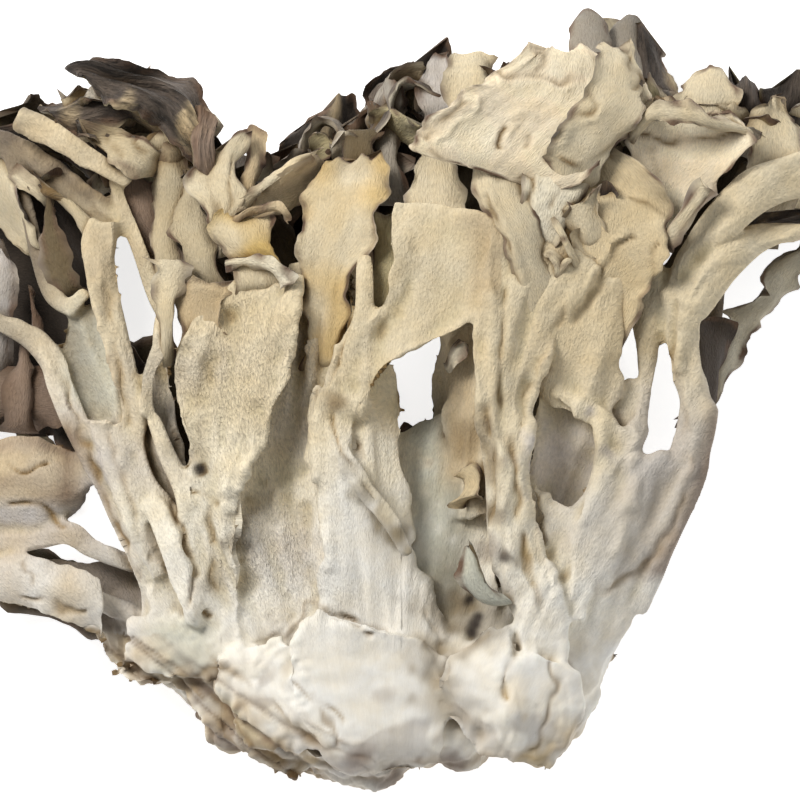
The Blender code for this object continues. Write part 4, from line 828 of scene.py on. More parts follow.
VELVET = {      # where the fibres stand up more or less than elsewhere, how far round, and how much more
    "velvety_left_sheet": (-32, 85, 16, 1.2),
    "velvety_hollow": (-25, 48, 12, 0.9),
    "bare_wall": (46, 56, 13, -0.4),
    "smooth_flow": (-3, 50, 12, -0.6),
}
SMOOTHER = {    # where the flesh dried with fewer wrinkles, and how far round
    "tongue_sheet": (7, 108, 14),
    "right_smooth_sheet": (38, 92, 11),
    "low_left_sheet": (-74, 46, 14),
    "low_left_roll": (-74, 62, 12),
    "middle_flow": (-4, 50, 13),
    "right_outer_wall": (47, 54, 11),
}

body = join(growth, "stalks_and_base")
finish_with(body, "DISPLACE", strength=SEAM * MM, mid_level=0)
finish_with(body, "REMESH", mode="VOXEL", voxel_size=VOXEL * MM)
finish_with(body, "DISPLACE", strength=-SEAM * MM, mid_level=0)
finish_with(body, "SMOOTH", factor=0.5, iterations=2)
places, ways = points_of(body)
x, y, z = places.T
around = numpy.arctan2(x - GROWN_FROM[0], y - GROWN_FROM[1])
radius = numpy.hypot(x - GROWN_FROM[0], y - GROWN_FROM[1])
low = slope(y, 42, -14)         # 1 on the cut base, 0 on the stalks
flow = numpy.stack((around * 90 + z * 0.35, radius, 1 - 0.8 * low), axis=1)
for *spot, more in VELVET.values():
    flow[:, 2] *= 1 + more * round_spot(places, *spot)

# The long wrinkles of the stalks, with sharp creases between round ridges
wrinkle = (1 - low) * (0.17 * swell(flow * (1, 0.12, 0), 1.2, 1) + 0.3 * swell(flow * (1, 0.15, 0), 3, 2))
ridged = 0.5 - abs(swell(flow * (1, 0.08, 0), 3.2, 7))
wrinkle += (1 - low) * 0.75 * ridged * numpy.clip(0.7 + 0.6 * swell(places, 16, 12), 0.1, 1)
for spot in SMOOTHER.values():
    wrinkle *= 1 - 0.75 * round_spot(places, *spot)
wrinkle = numpy.clip(wrinkle, -0.45, 1.2)

# The torn flesh of the base, which came off in layers with sharp edges, in strands at the lower left and in
# crumbs on its broken sides
flakes = 2 * swell(places * (1, 1, 0.3), 10, 4)
flakes = (numpy.floor(flakes) + slope(flakes % 1, 0.42, 0.16)) / 2
torn = slope(x, -16, -5) + slope(y, 10, -4)
torn = numpy.clip(torn + slope(x, 14, 4, 0.6), 0, 1)
wrinkle += low * (0.1 * swell(places, 2.4, 3) + (0.15 + 0.85 * torn) * 0.8 * flakes)
across = places[:, :2] @ (0.6, 0.8)
strands = numpy.stack((across, places[:, :2] @ (0.8, -0.6) * 0.1), axis=1)
strands = numpy.clip(1 - 2.5 * abs(swell(strands, 2.6, 31)), 0, 1)
skin = numpy.clip(1.8 - abs(across + 7.5 - 0.12 * (x + 36)) / 4.5, 0, 1)
skin *= slope(x, -12, -5) * (y < 33)
wrinkle -= 0.7 * strands * skin
crumbs = numpy.where(x > 0, 0.25, 0.5) * (abs(swell(places, 1.7, 33)) - 0.5)
wrinkle += low * torn * crumbs * patchy(places, 7, 34, 0.8, 0.7)
crease = numpy.zeros(len(places))
for height, half, brown, line in LINES.values():
    near = lined(places, ways, line, half)
    wrinkle += height * near
    crease = numpy.maximum(crease, brown * near)
places += ways * numpy.maximum(wrinkle, -1.1)[:, None]
move_points(body, places)
keep_vectors(body, "flow", flow)
body.data.update()
_, ways = points_of(body)
keep_vectors(body, "outward", ways)

# White at the cut and creamier upwards, then painted shade: olive in the hollows, brown in the deepest ones,
# and a painted highlight on the ridges
sunk = spread(body, hollows(body, 14), 3)
deep = spread(body, hollows(body, 90) * 0.35, 6)
colour = mix(numpy.tile(WHITE, (len(places), 1)), PALE, slope(y, 30, 60) * 1.6)
colour = mix(colour, CREAM, (y - 55) / 30 + 0.2 * swell(places, 12, 5))
mauve = numpy.clip(abs(x - 8) / 8 - 2.2, 0, 1) * band(y, 60, 34, 1.2)     # the webs beside the middle
colour = mix(colour, LAVENDER, mauve * numpy.clip((47 - z) / 9 + 0.5 * swell(places, 9, 6), 0, 1))
colour = mix(colour, OLIVE, 0.6 * numpy.clip(sunk + deep, 0, 1) * (1 - 0.6 * low))
colour = mix(colour, CREASE_BROWN_AND_SHADE, 0.8 * numpy.clip(1.5 * sunk - 0.55, 0, 1) * (1 - 0.5 * low))
colour *= 1 + 0.05 * numpy.clip(-sunk, 0, 1)[:, None]

# The wall in the hollow behind the middle, pale grey-green with painted shade on its right side; the
# tongue's right edge, tan, partly a stain and partly painted shade where it dips behind the main stalk; the
# white flow on the base; and the tan flank beside it
behind = band(x, 7, 5, 1.8) * slope(z, 43, -3)
behind *= band(y, 60, 10, 2.4, 0.9)
colour = mix(colour, MIST, behind)
# painted shade on the wall's right side
colour = mix(colour, SHADE, 0.7 * behind * slope(x, 7, 6))
# the tongue's right edge: a tan stain, with painted shade
colour = mix(colour, TAN * 0.85, slope(x, 10, 7, 0.8) * (x < 20) * band(y, 109, 6, 2.2)
             * patchy(places, 5, 25, 0.8, 0.5))
colour = mix(colour, WHITE, band(x, -5, 8, 1.7) * slope(z, 40, 1) * band(y, 50, 12, 2.2, 0.85))
colour = mix(colour, MIST, band(x, -44, 6, 1.6) * band(y, 30, 5, 1.6, 0.8))
colour = mix(colour, TAN, band(x, 12.5, 4, 1.5) * slope(z, 46, -4) * band(y, 79, 6, 3, 0.8))

# The outer wall on the right, mauve, with rosy-brown painted shade towards its right rim, and the smooth
# sheet above it
right_rim = numpy.interp(y, (34, 42, 50, 60, 70, 80, 90), (46, 50, 54.5, 59.5, 63, 65, 66))
rosy = slope(y, 84, -8) * slope(y, 43, 3)
rosy *= slope(x, 42, 8)
colour = mix(colour, LAVENDER * 0.85, 0.6 * rosy)
# painted shade towards the right rim
colour = mix(colour, ROSE * 0.85, rosy * numpy.clip((x - right_rim) / 5 + 0.9, 0, 0.8))
colour = mix(colour, PEACH, 0.8 * numpy.clip(1.6 - numpy.hypot(x - 39, y - 93) / 9, 0, 1))

# Brown edges, the web on the left and the shaded flesh under the left crown
edge = numpy.clip(-2.5 * hollows(body, 5) - 1, 0, 1)
colour = mix(colour, BROWN, 0.75 * edge * (1 - 0.5 * low) * patchy(places, 4, 21, 0.5, 0.7))
web = band(x, -61.5, 4.5, 1.8) * band(y, 88, 8, 2)
colour = mix(colour, MIST * 1.1, 0.8 * web * slope(z, 40, -2))
above = numpy.clip((123 - y - 0.75 * (x + 66)) / -2 + 1, 0, 1)
colour = mix(colour, SHADE, 0.75 * slope(z, 36, -2) * slope(y, 112, 3) * slope(x, -56, -3) * above)

# The torn skin at the lower left, round the sides and under the base
# the grey-green hollow at the lower left: its own olive colour, darkened as painted shade
olive_and_shade = numpy.clip(1.5 - numpy.hypot(x + 31, y - 16) / 8, 0, 1) * (ways[:, 2] > 0)
colour = mix(colour, OLIVE * 0.8, olive_and_shade * patchy(places, 5, 26, 0.4, 0.6, 0.8))
colour = mix(colour, TAN, skin * patchy(places, 3, 22, 0.45, 0.4, 0.9))
colour = mix(colour, BROWN, 0.6 * skin * strands)
under = low * slope(z, 33, -8)
colour = mix(colour, TAN, under * patchy(places, 6, 23, 0.6, 0.4, 0.9))
colour = mix(colour, BROWN, under * patchy(places * (1, 1, 0.4), 3, 24, 0.2, 0.7, 0.7))
colour = mix(colour, BROWN, low * numpy.clip((16 - y) / 12 + 0.6 * swell(places, 5, 7), 0, 0.3))
colour = mix(colour, BROWN, low * patchy(places * (1, 1, 0.6), 3, 9, 0, 0.8, 0.5)
             * band(x, -36, 12, 1.4) * slope(y, 29, -5))

# Painted shade: the stalks darker the deeper they lie and darker still in the cavity behind the left stalks;
# then the rolled flesh at the left edge
colour = mix(colour, CAP_SKIN_AND_DEEP_SHADE, slope(z, 31, -14, 0.85) * (1 - low))
cavity = slope(z, 37, -5) * slope(x, -49, -2)
colour = mix(colour, CAP_SKIN_AND_DEEP_SHADE, 0.8 * cavity * slope(y, 31, 3))
roll = slope(x, -62, -5) * slope(y, 58, 3)
roll *= slope(y, 78, -4)
colour = mix(colour, TAN * 0.9, 0.8 * roll)
colour = mix(colour, ROSE, roll * patchy(places * (0.2, 1, 1), 3, 13, 0.3, 0.4, 0.8))
colour = mix(colour, BROWN, roll * slope(x, -70, 5, 0.6))
colour = mix(colour, TAN, slope(x, -60, -6) * slope(y, 56, -3) * patchy(places, 6, 14, 0.3, 0.3, 0.5))
# the lines' brown, and their painted shade in grooves, cracks, slits and pits
colour = mix(colour, CREASE_BROWN_AND_SHADE, crease)

# Stains, painted shade in hollows and pits, painted light and shade in the pouch, and pale webs on the front:
# where, how far round, the colour and how strong it is
STAINS_AND_PAINTED_SHADE = {
    "white_flow": (-6, 49, 11, WHITE, 0.65),
    "bare_wall": (44, 54, 11, LAVENDER * 0.85, 0.45),
    "torn_rib_tip": (-0.5, 53.5, 3, STAIN * 0.3, 0.85),
    "torn_rib_middle": (-3, 58, 2.6, STAIN * 0.45, 0.75),
    "torn_rib_moss": (-6.4, 62, 3, SHADE * 0.9, 0.8),
    "torn_rib_grey": (-9.5, 66.5, 2.6, GREY * 0.6, 0.6),
    "tube_foot": (-13, 79.5, 2.4, CREASE_BROWN_AND_SHADE * 0.7, 0.8),
    "pale_web": (-2.5, 66, 6, PALE, 0.8),
    "pale_web_foot": (0.8, 58, 3, PALE, 0.8),
    "shade_under_leaf": (16, 36.5, 6, SHADE * 1.25, 0.65),
    "shade_beside_flow": (9.5, 38, 6, SHADE * 1.4, 0.65),
    "shade_beside_chunk": (6.5, 29, 5, SHADE * 1.6, 0.45),
    "shade_below_chunk": (9, 19.5, 6, SHADE * 1.8, 0.4),
    # painted shade in the pits and holes
    "shaded_pit_top": (15.7, 36.5, 1.3, DARK * 0.4, 1),
    "shaded_pit": (15.1, 35, 1.6, DARK * 0.4, 1),
    "shaded_pit_foot": (14.5, 33.3, 1.3, DARK * 0.4, 1),
    "small_shaded_pit": (14.2, 40, 1, DARK * 0.5, 1),
    "shaded_knot_hole": (20.8, 48.6, 1.5, DARK * 0.6, 0.9),
    "shaded_sheet_pit": (-39.9, 66.2, 1.3, DARK * 0.25, 1),
    "pocket_shade": (-32.3, 51.5, 2.4, SHADE * 1.2, 0.6),
    "left_foot_shade": (-37.5, 44, 3, SHADE * 1.4, 0.5),
    "wedge_shade": (-46, 70, 2.4, SHADE * 1.3, 0.4),
    "knot_stain": (18, 50, 2.6, BROWN * 1.2, 0.5),
    "main_stalk_shadow_high": (13.5, 73, 5, CREASE_BROWN_AND_SHADE * 0.7, 0.6),
    "main_stalk_shadow_low": (17, 58, 3, CREASE_BROWN_AND_SHADE * 0.7, 0.6),
    "main_stalk_shadow_middle": (17.5, 66, 3, CREASE_BROWN_AND_SHADE * 0.8, 0.5),
    "main_stalk_yellow": (27, 50.5, 3, STAIN, 0.35),
    # painted light on the pouch's lit left side, painted shade on its right
    "pouch_painted_light": (31.5, 69, 6, LAVENDER * 1.2, 1),
    "pouch_painted_shade": (37, 69, 3, SHADE, 0.5),
    "second_stalk_top": (-60, 108, 9, TAN * 0.8, 0.7),
    "rolled_stalk": (-71, 133, 7, TAN, 0.5),
    "rolled_stalk_foot": (-61, 128, 6, TAN, 0.5),
    "chunk_stain": (23, 21.5, 3.5, STAIN * 1.1, 0.25),
    "base_rim_left": (-9, 8.5, 3.4, BROWN * 1.3, 0.6),
    "base_rim_tip": (-1.5, 4, 3, BROWN, 0.7),
    "base_rim_middle": (10.5, 6.5, 3.4, BROWN, 0.7),
    "base_rim_right": (27, 7.5, 3.4, STAIN * 0.7, 0.6),
    "chunk_side": (33, 14, 3.4, STAIN * 1.05, 0.3),
}
ragged = 1 + 0.25 * swell(places, 2.5, 51)
for middle_x, middle_y, reach, mark, share in STAINS_AND_PAINTED_SHADE.values():
    far = numpy.hypot(x - middle_x, y - middle_y) / reach * ragged
    colour = mix(colour, mark, share * numpy.exp(-far ** 3) * (ways[:, 2] > 0))
give_colour(body, colour)
body.data.materials.append(PORED)

# The growth is one unbroken piece of flesh. It is parted into four only because it is too fine to be handled
# as one, with the same points, paint and fibres on both sides of each cut, so that nothing shows of it.


def take_paint(part, whole):
    """Gives a part the whole's paint and measure, from the nearest point, as a cut's own points have none."""
    tree = kdtree.KDTree(len(whole.data.vertices))
    for i, vertex in enumerate(whole.data.vertices):
        tree.insert(vertex.co, i)
    tree.balance()
    nearest = numpy.array([tree.find(vertex.co)[1] for vertex in part.data.vertices])
    for name, width, key in (("tone", 4, "color"), ("flow", 3, "vector"), ("outward", 3, "vector")):
        source = gather(whole.data.attributes[name].data, key, width)
        part.data.attributes[name].data.foreach_set(key, source[nearest].ravel())


CUTS = {        # from where to where, in millimetres left and right of the middle
    "far_left_growth": (-200, -34),
    "left_growth": (-34, 2.1),
    "right_growth": (2.1, 29),
    "far_right_growth": (29, 200),
}
for name, (start, end) in CUTS.items():
    part = body.copy()
    part.data = body.data.copy()
    bpy.context.collection.objects.link(part)
    part.name = name
    bpy.ops.mesh.primitive_cube_add(size=1, location=((start + end) / 2 * MM, 0, 0),
                                    scale=((end - start) * MM, 0.4, 0.4))
    block = bpy.context.object
    finish_with(part, "BOOLEAN", operation="INTERSECT", object=block, solver="MANIFOLD")
    bpy.data.objects.remove(block, do_unlink=True)
    take_paint(part, body)
    hand_over(part)
bpy.data.objects.remove(body, do_unlink=True)

# The fronds are the thin ends of the stalks. Their pored face is cream and velvety and faces the camera on
# most; the cap's upper face is dark, and their edges dried wavy, nicked and a little browner.
FROND_CELL = 0.75       # size of a cell, in millimetres, on a frond

# Ridges, creases and torn brown lines left where the fronds shrank: how high, half how wide, how brown, and
# the line over the pored face. The dark line under the bowl's lip is painted shade.
FROND_LINES = {
    "biggest_frond": [
        (-0.8, 0.8, 0.9, [(4.5, 131.5), (7.5, 134.5), (11, 137.5), (13.5, 140)]),
        (0.6, 0.6, 0, [(6.5, 131), (10, 134), (14, 137), (16, 140.5)]),
        (0.5, 0.6, 1, [(5, 130), (9, 127.5), (14, 125.4), (19, 124)]),
        (-0.7, 0.6, 1, [(21.5, 135), (21, 133.5), (19.5, 131.5), (20.5, 130)]),
        (0.6, 0.7, 0, [(23, 135.5), (22.5, 133.5), (21.2, 131.5)]),
        (-0.4, 0.6, 0.5, [(25.5, 133), (25.6, 131.5), (24.8, 130)]),
        (-0.5, 0.7, 0.6, [(19, 146), (22, 144.5), (27, 144.8), (32, 143.5), (37, 144.5)]),
        (0.5, 0.7, 0, [(19, 144.5), (22.5, 143), (27, 143.2), (32, 142), (36, 142.5)]),
        (0.5, 0.9, 0, [(13, 139), (18, 136.5), (24, 137), (28, 136)]),
        (-0.5, 0.6, 0.6, [(28, 150), (29, 147.5), (27.5, 145.5)])],
    "inner_lobe": [
        (0.6, 0.6, 1, [(31, 128.5), (36, 127), (40, 129.5), (44, 132.5)]),
        (-0.7, 0.6, 0.9, [(30.5, 131.5), (32, 134.3), (35, 136.3), (38.5, 138), (37.5, 142)]),
        (0.6, 0.6, 0, [(32, 130.5), (33.5, 133.2), (36.5, 135), (40.5, 137.5), (39.5, 142)]),
        (-0.6, 0.6, 0.9, [(46, 150), (45.5, 146.5), (48, 144.5), (47, 142)]),
        (0.7, 0.8, 0, [(44.5, 149), (43.8, 146), (46, 143.5)])],
    "right_bowl": [
        # painted shade under the rolled lip
        (-0.7, 0.7, 0.9, [(47, 133), (54, 131.8), (62, 132.3), (69, 133.5)]),
        (-0.5, 1, 0.4, [(50, 131), (51, 126), (50, 121)])],
    "right_crown_sheet": [
        (0.9, 0.5, 0, [(45.5, 114.5), (42, 110.5), (38.5, 106), (34, 99.5)]),
        (-0.8, 0.6, 0.9, [(46.6, 113.5), (43.2, 109.5), (39.7, 105), (35.5, 99)]),
        (0.6, 0.5, 0.9, [(40, 123), (44.5, 121), (49, 119), (54, 116)]),
        (-0.6, 0.5, 0.8, [(52, 112), (50, 108), (51, 103), (50, 98)])],
    "frond_neck": [
        (-0.8, 0.6, 1, [(24.5, 126), (26.5, 123), (25.5, 119), (27, 114)]),
        (0.6, 0.7, 0, [(26, 126), (28, 122.5), (27.2, 118.5)]),
        (-0.7, 0.6, 0.8, [(33, 127), (32, 122), (29.5, 118)])],
    "bright_strap": [
        (-0.6, 0.6, 0.8, [(16.5, 122), (18.5, 116.5), (21.5, 110), (23.5, 102)]),
        (0.5, 0.6, 0, [(18, 122), (20, 116.5), (23, 110), (25, 102)])],
    "serrated_fan": [
        (-0.5, 0.5, 0.6, [(-35, 111), (-36.5, 118), (-38.5, 125)]),
        (-0.5, 0.5, 0.6, [(-34, 113), (-34, 121), (-33.5, 129)])],
    "lobed_frond": [
        (-0.8, 0.6, 1, [(-53, 135), (-53.5, 132), (-51, 129)]),
        (-0.6, 0.6, 0.7, [(-58, 134), (-58, 131), (-55, 128.5)])],
    "ochre_frond": [
        (-0.6, 0.7, 0.7, [(-16, 108), (-15.5, 100), (-16, 93), (-17, 87)]),
        (0.4, 0.8, 0, [(-9, 127), (-9.5, 119), (-12, 110), (-13.5, 100)])],
}


def frond(name, rows, proud, rounded, wave, thick, front, back=CAP_SKIN_AND_DEEP_SHADE, cap_shows=False, ragged=0.9,
          curl=2.2, lobes=1.2, folds=0.22, dive=4, cell=FROND_CELL):
    """A sheet with both faces painted, the front one to the left of its way up, and a thin brown rim."""
    piece = sheet(name, rows, proud, rounded, wave, thick, cell, ragged, folds, curl, lobes, dive)
    flow = gather(piece.data.attributes["flow"].data, "vector", 3)
    across, up, side = flow.T
    seed = sum(map(ord, name))
    half = abs(across - seed).max()
    rim = numpy.minimum(half - abs(across - seed), up.max() - up)
    if dive == 0:           # a free margin at this end too
        rim = numpy.minimum(rim, up)
    places, ways = points_of(piece)
    face = numpy.tile(front, (len(side), 1))
    for height, half_wide, brown, line in FROND_LINES.get(name, ()):
        near = lined(places, ways, line, half_wide) * (side > 0)
        move_points(piece, places + ways * (height * near)[:, None])
        places, _ = points_of(piece)
        face = mix(face, CREASE_BROWN_AND_SHADE * 0.8, brown * near)
    if front is OCHRE or front is STAIN:        # stained in patches only
        mark = 0.7 * swell(places, 7, seed + 4) + (0.2 if front is OCHRE else 0.75)
        if front is STAIN:
            mark *= numpy.clip((places[:, 1] - 106) / 3, 0, 1)
        face = mix(numpy.tile(CREAM, (len(side), 1)), front, mark)
        # painted shade near the root, where the frond dives into the flesh
        face = mix(face, SHADE, 0.5 * numpy.clip(4 - up, 0, 1))
    if front is DARK:       # the skin has rubbed off in places, and its folds are almost black
        face = mix(face, TAN, 2 * swell(places, 6, seed + 4) - 1.1)
        face = mix(face, face * 0.35, 1.3 - 3 * abs(swell(flow * (1, 0.22, 1), 2.6, seed)))
    face = mix(face, face * 0.75, 0.6 * swell(places, 9, seed) - 0.1)
    # painted shade: the deeper the frond lies, the darker it is painted
    face = face * numpy.clip((places[:, 2:] + 6) / 40, 0.3, 1)
    face = mix(face, BROWN, numpy.clip(1.5 - rim, 0, 1) * (0.55 + 0.7 * swell(places, 3, seed + 1)))
    rear = mix(numpy.tile(back, (len(side), 1)), GREY, 0.35 + 0.6 * swell(places, 7, seed + 2))
    give_colour(piece, mix(face, rear, 0.5 - side))
    piece.data.materials.append(CAP if cap_shows else PORED)
    piece.data.materials.append(CAP)
    corners = gather(piece.data.loops, "vertex_index", 1, numpy.int32).ravel()
    starts = gather(piece.data.polygons, "loop_start", 1, numpy.int32).ravel()
    mean = numpy.add.reduceat(side[corners], starts)
    piece.data.polygons.foreach_set("material_index", (mean < 0).astype(numpy.int32))
    return piece


LEFT_FRONDS = {
    "left_edge_sheet": ([
        (-75, 107, 29, -72.5, 110, 34), (-79.5, 112, 27, -74.5, 116, 32), (-88, 120, 22, -77, 124, 30),
        (-90, 127, 18, -79, 131, 27)], -1, 2, 1, 1.3, CREAM),
    "left_leaf": ([
        (-67, 98, 33, -64, 101, 35), (-70.5, 106, 34, -66, 107, 35), (-73, 114, 34, -68.5, 114.5, 34),
        (-72, 119, 33, -69.5, 119, 33)], 1, 1, 0.3, 1.3, SHADE),
    "wide_left_strap": ([
        (-49, 100, 38, -43.5, 101, 39), (-50, 113, 36, -43.5, 113, 39), (-50, 124, 34, -42, 122, 37),
        (-48.5, 134, 31, -43.5, 130, 34)], 1.5, 1, 0.8, 1.1, SHADED_CREAM),
    # brown, and painted dark as painted shade
    "brown_inner_strap": ([
        (-49.5, 107, 35, -47, 107, 36), (-51.5, 112, 34, -48, 112, 35), (-55, 118, 33, -49, 118, 34),
        (-57, 125, 32, -50, 126, 33)], -1, 1, 0.8, 1.1, ROSE),
    "leaning_left_strap": ([
        (-64, 110, 35, -58, 110, 36), (-66.5, 117, 35.5, -60, 115, 37), (-70, 122, 34, -64, 117.5, 36),
        (-74.5, 127, 31, -71, 123, 34)], 1.8, 0.5, 0.5, 1.1, SHADED_CREAM),
    "thin_left_strap": ([
        (-70, 117, 30, -69, 121, 30), (-74, 120.5, 31, -73, 124, 31),
        (-78, 123.5, 29, -77, 127, 29)], 1, 0.5, 0.5, 1.1, CREAM),
    "leaning_strap": ([
        (-43, 94, 36, -33, 97, 37), (-44, 107, 40, -36, 109, 42), (-46, 116, 39, -38, 117, 41),
        (-45, 122.5, 36, -38, 122, 38)], 1, 1, 0.9, 1.1, SHADED_CREAM),
    "lobed_frond": ([
        (-47.5, 124, 37, -46, 129, 37), (-52.5, 126, 40, -50, 133.5, 38), (-57, 127.5, 40, -55, 135, 37),
        (-62, 130.5, 37, -61, 134, 35)], -1.5, 1, 1.6, 1.1, SHADED_CREAM),
    "tan_sheet": ([
        (-42, 86, 44, -34, 88, 44), (-44, 97, 43, -35, 98, 44),
        (-43.5, 104.5, 44, -33, 103.5, 45)], 0.6, 0, 0.6, 1.3, TAN),
    "torn_tube_top": ([
        (-49, 86, 43.5, -44.8, 87, 44), (-48.7, 98, 44.3, -44, 98, 45),
        (-48.6, 105, 43.8, -43.4, 104.5, 44.5), (-48.8, 110, 43, -42.8, 109, 43.8)], 1.5, 0, 0.3, 1.1, CREAM),
    "serrated_fan_lobe": ([
        (-35, 112, 42, -31, 112, 42), (-34, 120, 41, -29, 120, 41), (-32, 127, 39, -27.5, 126, 38),
        (-30.5, 133, 36, -28.5, 132, 35)], 1, 1, 1, 1.3, TAN),
    "feather_membrane": ([
        (-36, 114, 43, -33, 110, 38), (-30, 120, 43, -28, 116, 36), (-24, 124.5, 42, -20, 118, 35),
        (-14, 130.5, 39, -12, 125, 33)], -1, 1, 1, 1.1, TAN),
    "feather_rib": ([
        (-37.5, 114.5, 44.5, -36, 113, 44), (-31, 121.3, 44.5, -29, 119.5, 44),
        (-25, 126, 43.5, -23, 124, 43), (-14, 132.5, 40.5, -13, 131, 40)], 0.4, 0, 0.4, 1, CREAM),
    "feather_branch": ([
        (-37, 114, 45, -36, 112.5, 45), (-30, 119, 46.5, -30, 117.6, 46.5),
        (-24, 119, 47, -24.5, 117.4, 46.7), (-21.5, 115, 45.5, -22.7, 114.3, 45.5)], 0.4, 0, 0.4, 0.9, TAN),
    "rolled_edge": ([
        (-36, 108.8, 46, -36, 105.5, 45.5), (-30, 110, 48.5, -30.3, 106.3, 47.5),
        (-25, 108.3, 49, -25.8, 104.8, 48), (-20.8, 104.8, 48, -22.8, 102.4, 47)], 1.2, 0, 0.4, 1.2, PALE),
    "stained_frond": ([
        (-32, 99, 45, -20, 100, 45), (-34, 107, 46, -21, 107, 46), (-38, 113, 46, -24, 112, 46),
        (-36, 117, 44, -26, 118, 43)], 1, 1, 0.6, 1.1, STAIN),
}
DARK_LEFT_FRONDS = {
    "dark_front_cap": ([
        (-43, 118, 37, -36, 120, 37), (-41, 125, 37, -35, 130, 35), (-45.5, 130.5, 39, -37.5, 137, 36),
        (-50, 135.5, 40, -41, 144, 37), (-55, 138.5, 40, -49, 147, 37), (-60, 141, 38, -57, 146.5, 35),
        (-65, 143, 35, -65, 147, 33)], 1.5, 1, 1.4, 1.8, DARK),
    "dark_knob": ([
        (-41, 124, 38, -37, 126, 37), (-43, 129, 41, -36.5, 130, 39.5),
        (-41.5, 135.5, 40, -37, 134.5, 38)], 2.5, 0.5, 0.6, 1.2, ROSE),
    "dark_strip": ([
        (-44, 128, 32, -42, 130, 31), (-52, 134.5, 33, -50, 138.5, 32), (-58, 136, 32, -58, 142, 29),
        (-66, 134.5, 30, -66, 141, 27), (-72, 136.5, 27, -73, 140, 24)], 1, 1, 1, 1.3, DARK),
    "dark_corner": ([
        (-68, 128, 27, -66, 133, 27), (-76, 127.5, 25, -74, 134.5, 24),
        (-85, 128, 21, -84, 136, 20)], 1, 2, 1, 1.3, DARK),
}
pieces = [frond(name, *facts) for name, facts in LEFT_FRONDS.items()]
for name, facts in DARK_LEFT_FRONDS.items():
    pieces.append(frond(name, *facts, cap_shows=True, back=OLIVE, folds=1.3))
pieces.append(frond("serrated_fan", [
    (-36.5, 108, 43, -33, 109, 43), (-38, 114, 43.5, -32.3, 115, 44), (-40.5, 120, 43, -30.8, 121, 43.5),
    (-41.8, 125.5, 41, -30.8, 127.5, 42), (-37.5, 131.5, 39.5, -30.5, 132.5, 40)], 1.2, 0, 0.5, 1, CREAM,
    ragged=1.1, curl=0.8, lobes=0.5, folds=0.35, cell=0.5))
hand_over(join(pieces, "left_crown_fronds"))

# The middle crown: the biggest frond lies over the others on a thick neck, a long ochre one lies to its left,
# and small ones stand behind. They are thin leathery flesh, grown from the stalks and free at the tips only.
MIDDLE_FRONDS = {
    "behind_tongue": ([
        (2, 98, 49, 12, 98, 50), (1, 109, 45, 13, 109, 46), (1, 119, 43, 12, 119, 44),
        (3, 129, 41, 10, 129, 41)], 0, 1, 0.6, 1.3, CREAM),
    "shaded_frond": ([
        (-8, 94, 46, -2, 94, 46), (-7, 101, 44, 1, 101, 44), (-7, 107, 42, 1, 107, 42),
        (-6, 116, 40, 0, 116, 40)], 1, 1, 0.8, 1.3, OLIVE),
    "brown_rolled_frond": ([
        (-12, 122, 34, -4, 122, 36), (-13, 130, 33, -3.5, 130, 35),
        (-12, 134.5, 31, -3, 135, 32)], 2, 1, 1, 1.1, SHADE),
    "grey_middle_frond": ([
        (-6, 120, 33, 2, 120, 33), (-6.5, 130, 31, 1, 130, 31),
        (-5, 137, 28, 0, 138, 28)], 1, 1, 0.8, 1.3, GREY),
    "left_arch": ([
        (-19, 122, 32, -17, 122, 20), (-20.5, 129, 31, -18, 129, 18), (-19, 134.5, 29, -17, 133.5, 17),
        (-15.5, 137, 28, -15, 135.5, 16), (-11, 134, 28, -12, 132, 16)], 0, 0, 0.6, 1.3, PALE),
    "middle_arch": ([
        (-6, 130, 31, -4, 131, 16), (-5.5, 140, 29, -4, 139.5, 15), (-2.5, 145, 27, -2, 143.5, 15),
        (4, 146.5, 25, 4, 144.5, 14)], 0, 0, 0.6, 1.3, CREAM),
    "middle_inner_arch": ([
        (-4, 132, 35, -2.5, 133, 20), (-1.5, 142, 34, 0, 141, 19), (3, 144, 34, 3, 142.5, 18),
        (11, 141, 33, 10.5, 139.5, 18)], 0, 0, 0.6, 1.3, PALE),
    "white_grey_frond": ([
        (4.5, 136, 33, 11, 137, 34), (3.8, 143, 31, 11.5, 143, 33),
        (5, 149, 28, 10.5, 149, 29)], -1, 1.5, 0.6, 1.3, LAVENDER),
    "cream_lobe": ([
        (10, 132, 42, 18, 132, 43), (9.5, 143, 39, 19.5, 143, 41),
        (10, 150.5, 34, 19, 150.5, 35)], 1, 2.5, 1, 1.3, CREAM),
    "inner_lobe": ([
        (30, 118, 49, 38, 120, 48), (29.5, 126, 53.5, 42, 129, 52), (30.5, 131.5, 55.5, 46, 133.5, 53),
        (34.5, 137, 55, 50, 139, 51), (38, 143, 52, 50, 144.5, 47),
        (39.5, 150, 47, 47.5, 150, 43)], 1, 1, 0.8, 1.1, CREAM),
    "white_curl": ([
        (8.5, 86, 44, 9.5, 84, 43), (10, 91, 46, 12.5, 88.5, 46),
        (13.5, 93.5, 47, 14.5, 91, 47)], 0.8, 0.5, 0.5, 1, PALE),
    "grey_strip": ([
        (15, 94, 47, 21, 94, 48), (16, 104, 47, 21, 104, 48), (17, 114, 46, 21, 113, 47)], 0, 1, 0.5, 1.3,
        LAVENDER),
    "small_curled_leaf": ([
        (13, 56, 44, 18, 58, 45), (9, 58.5, 47.5, 16.5, 61, 48), (12, 63, 47, 16.5, 64.5, 48),
        (10, 66, 47.5, 15, 68.5, 47)], -2, 0.5, 1, 0.9, PEACH),
    "grey_green_leaf": ([
        (17.5, 37.5, 48, 21.5, 38, 49), (12.5, 42, 50.5, 20.5, 41.5, 50.5), (11.8, 46, 51.5, 18, 46, 51.5),
        (13.3, 51.5, 50, 15.5, 51.5, 50.5)], 1, 0.5, 0.4, 1, MIST),
}
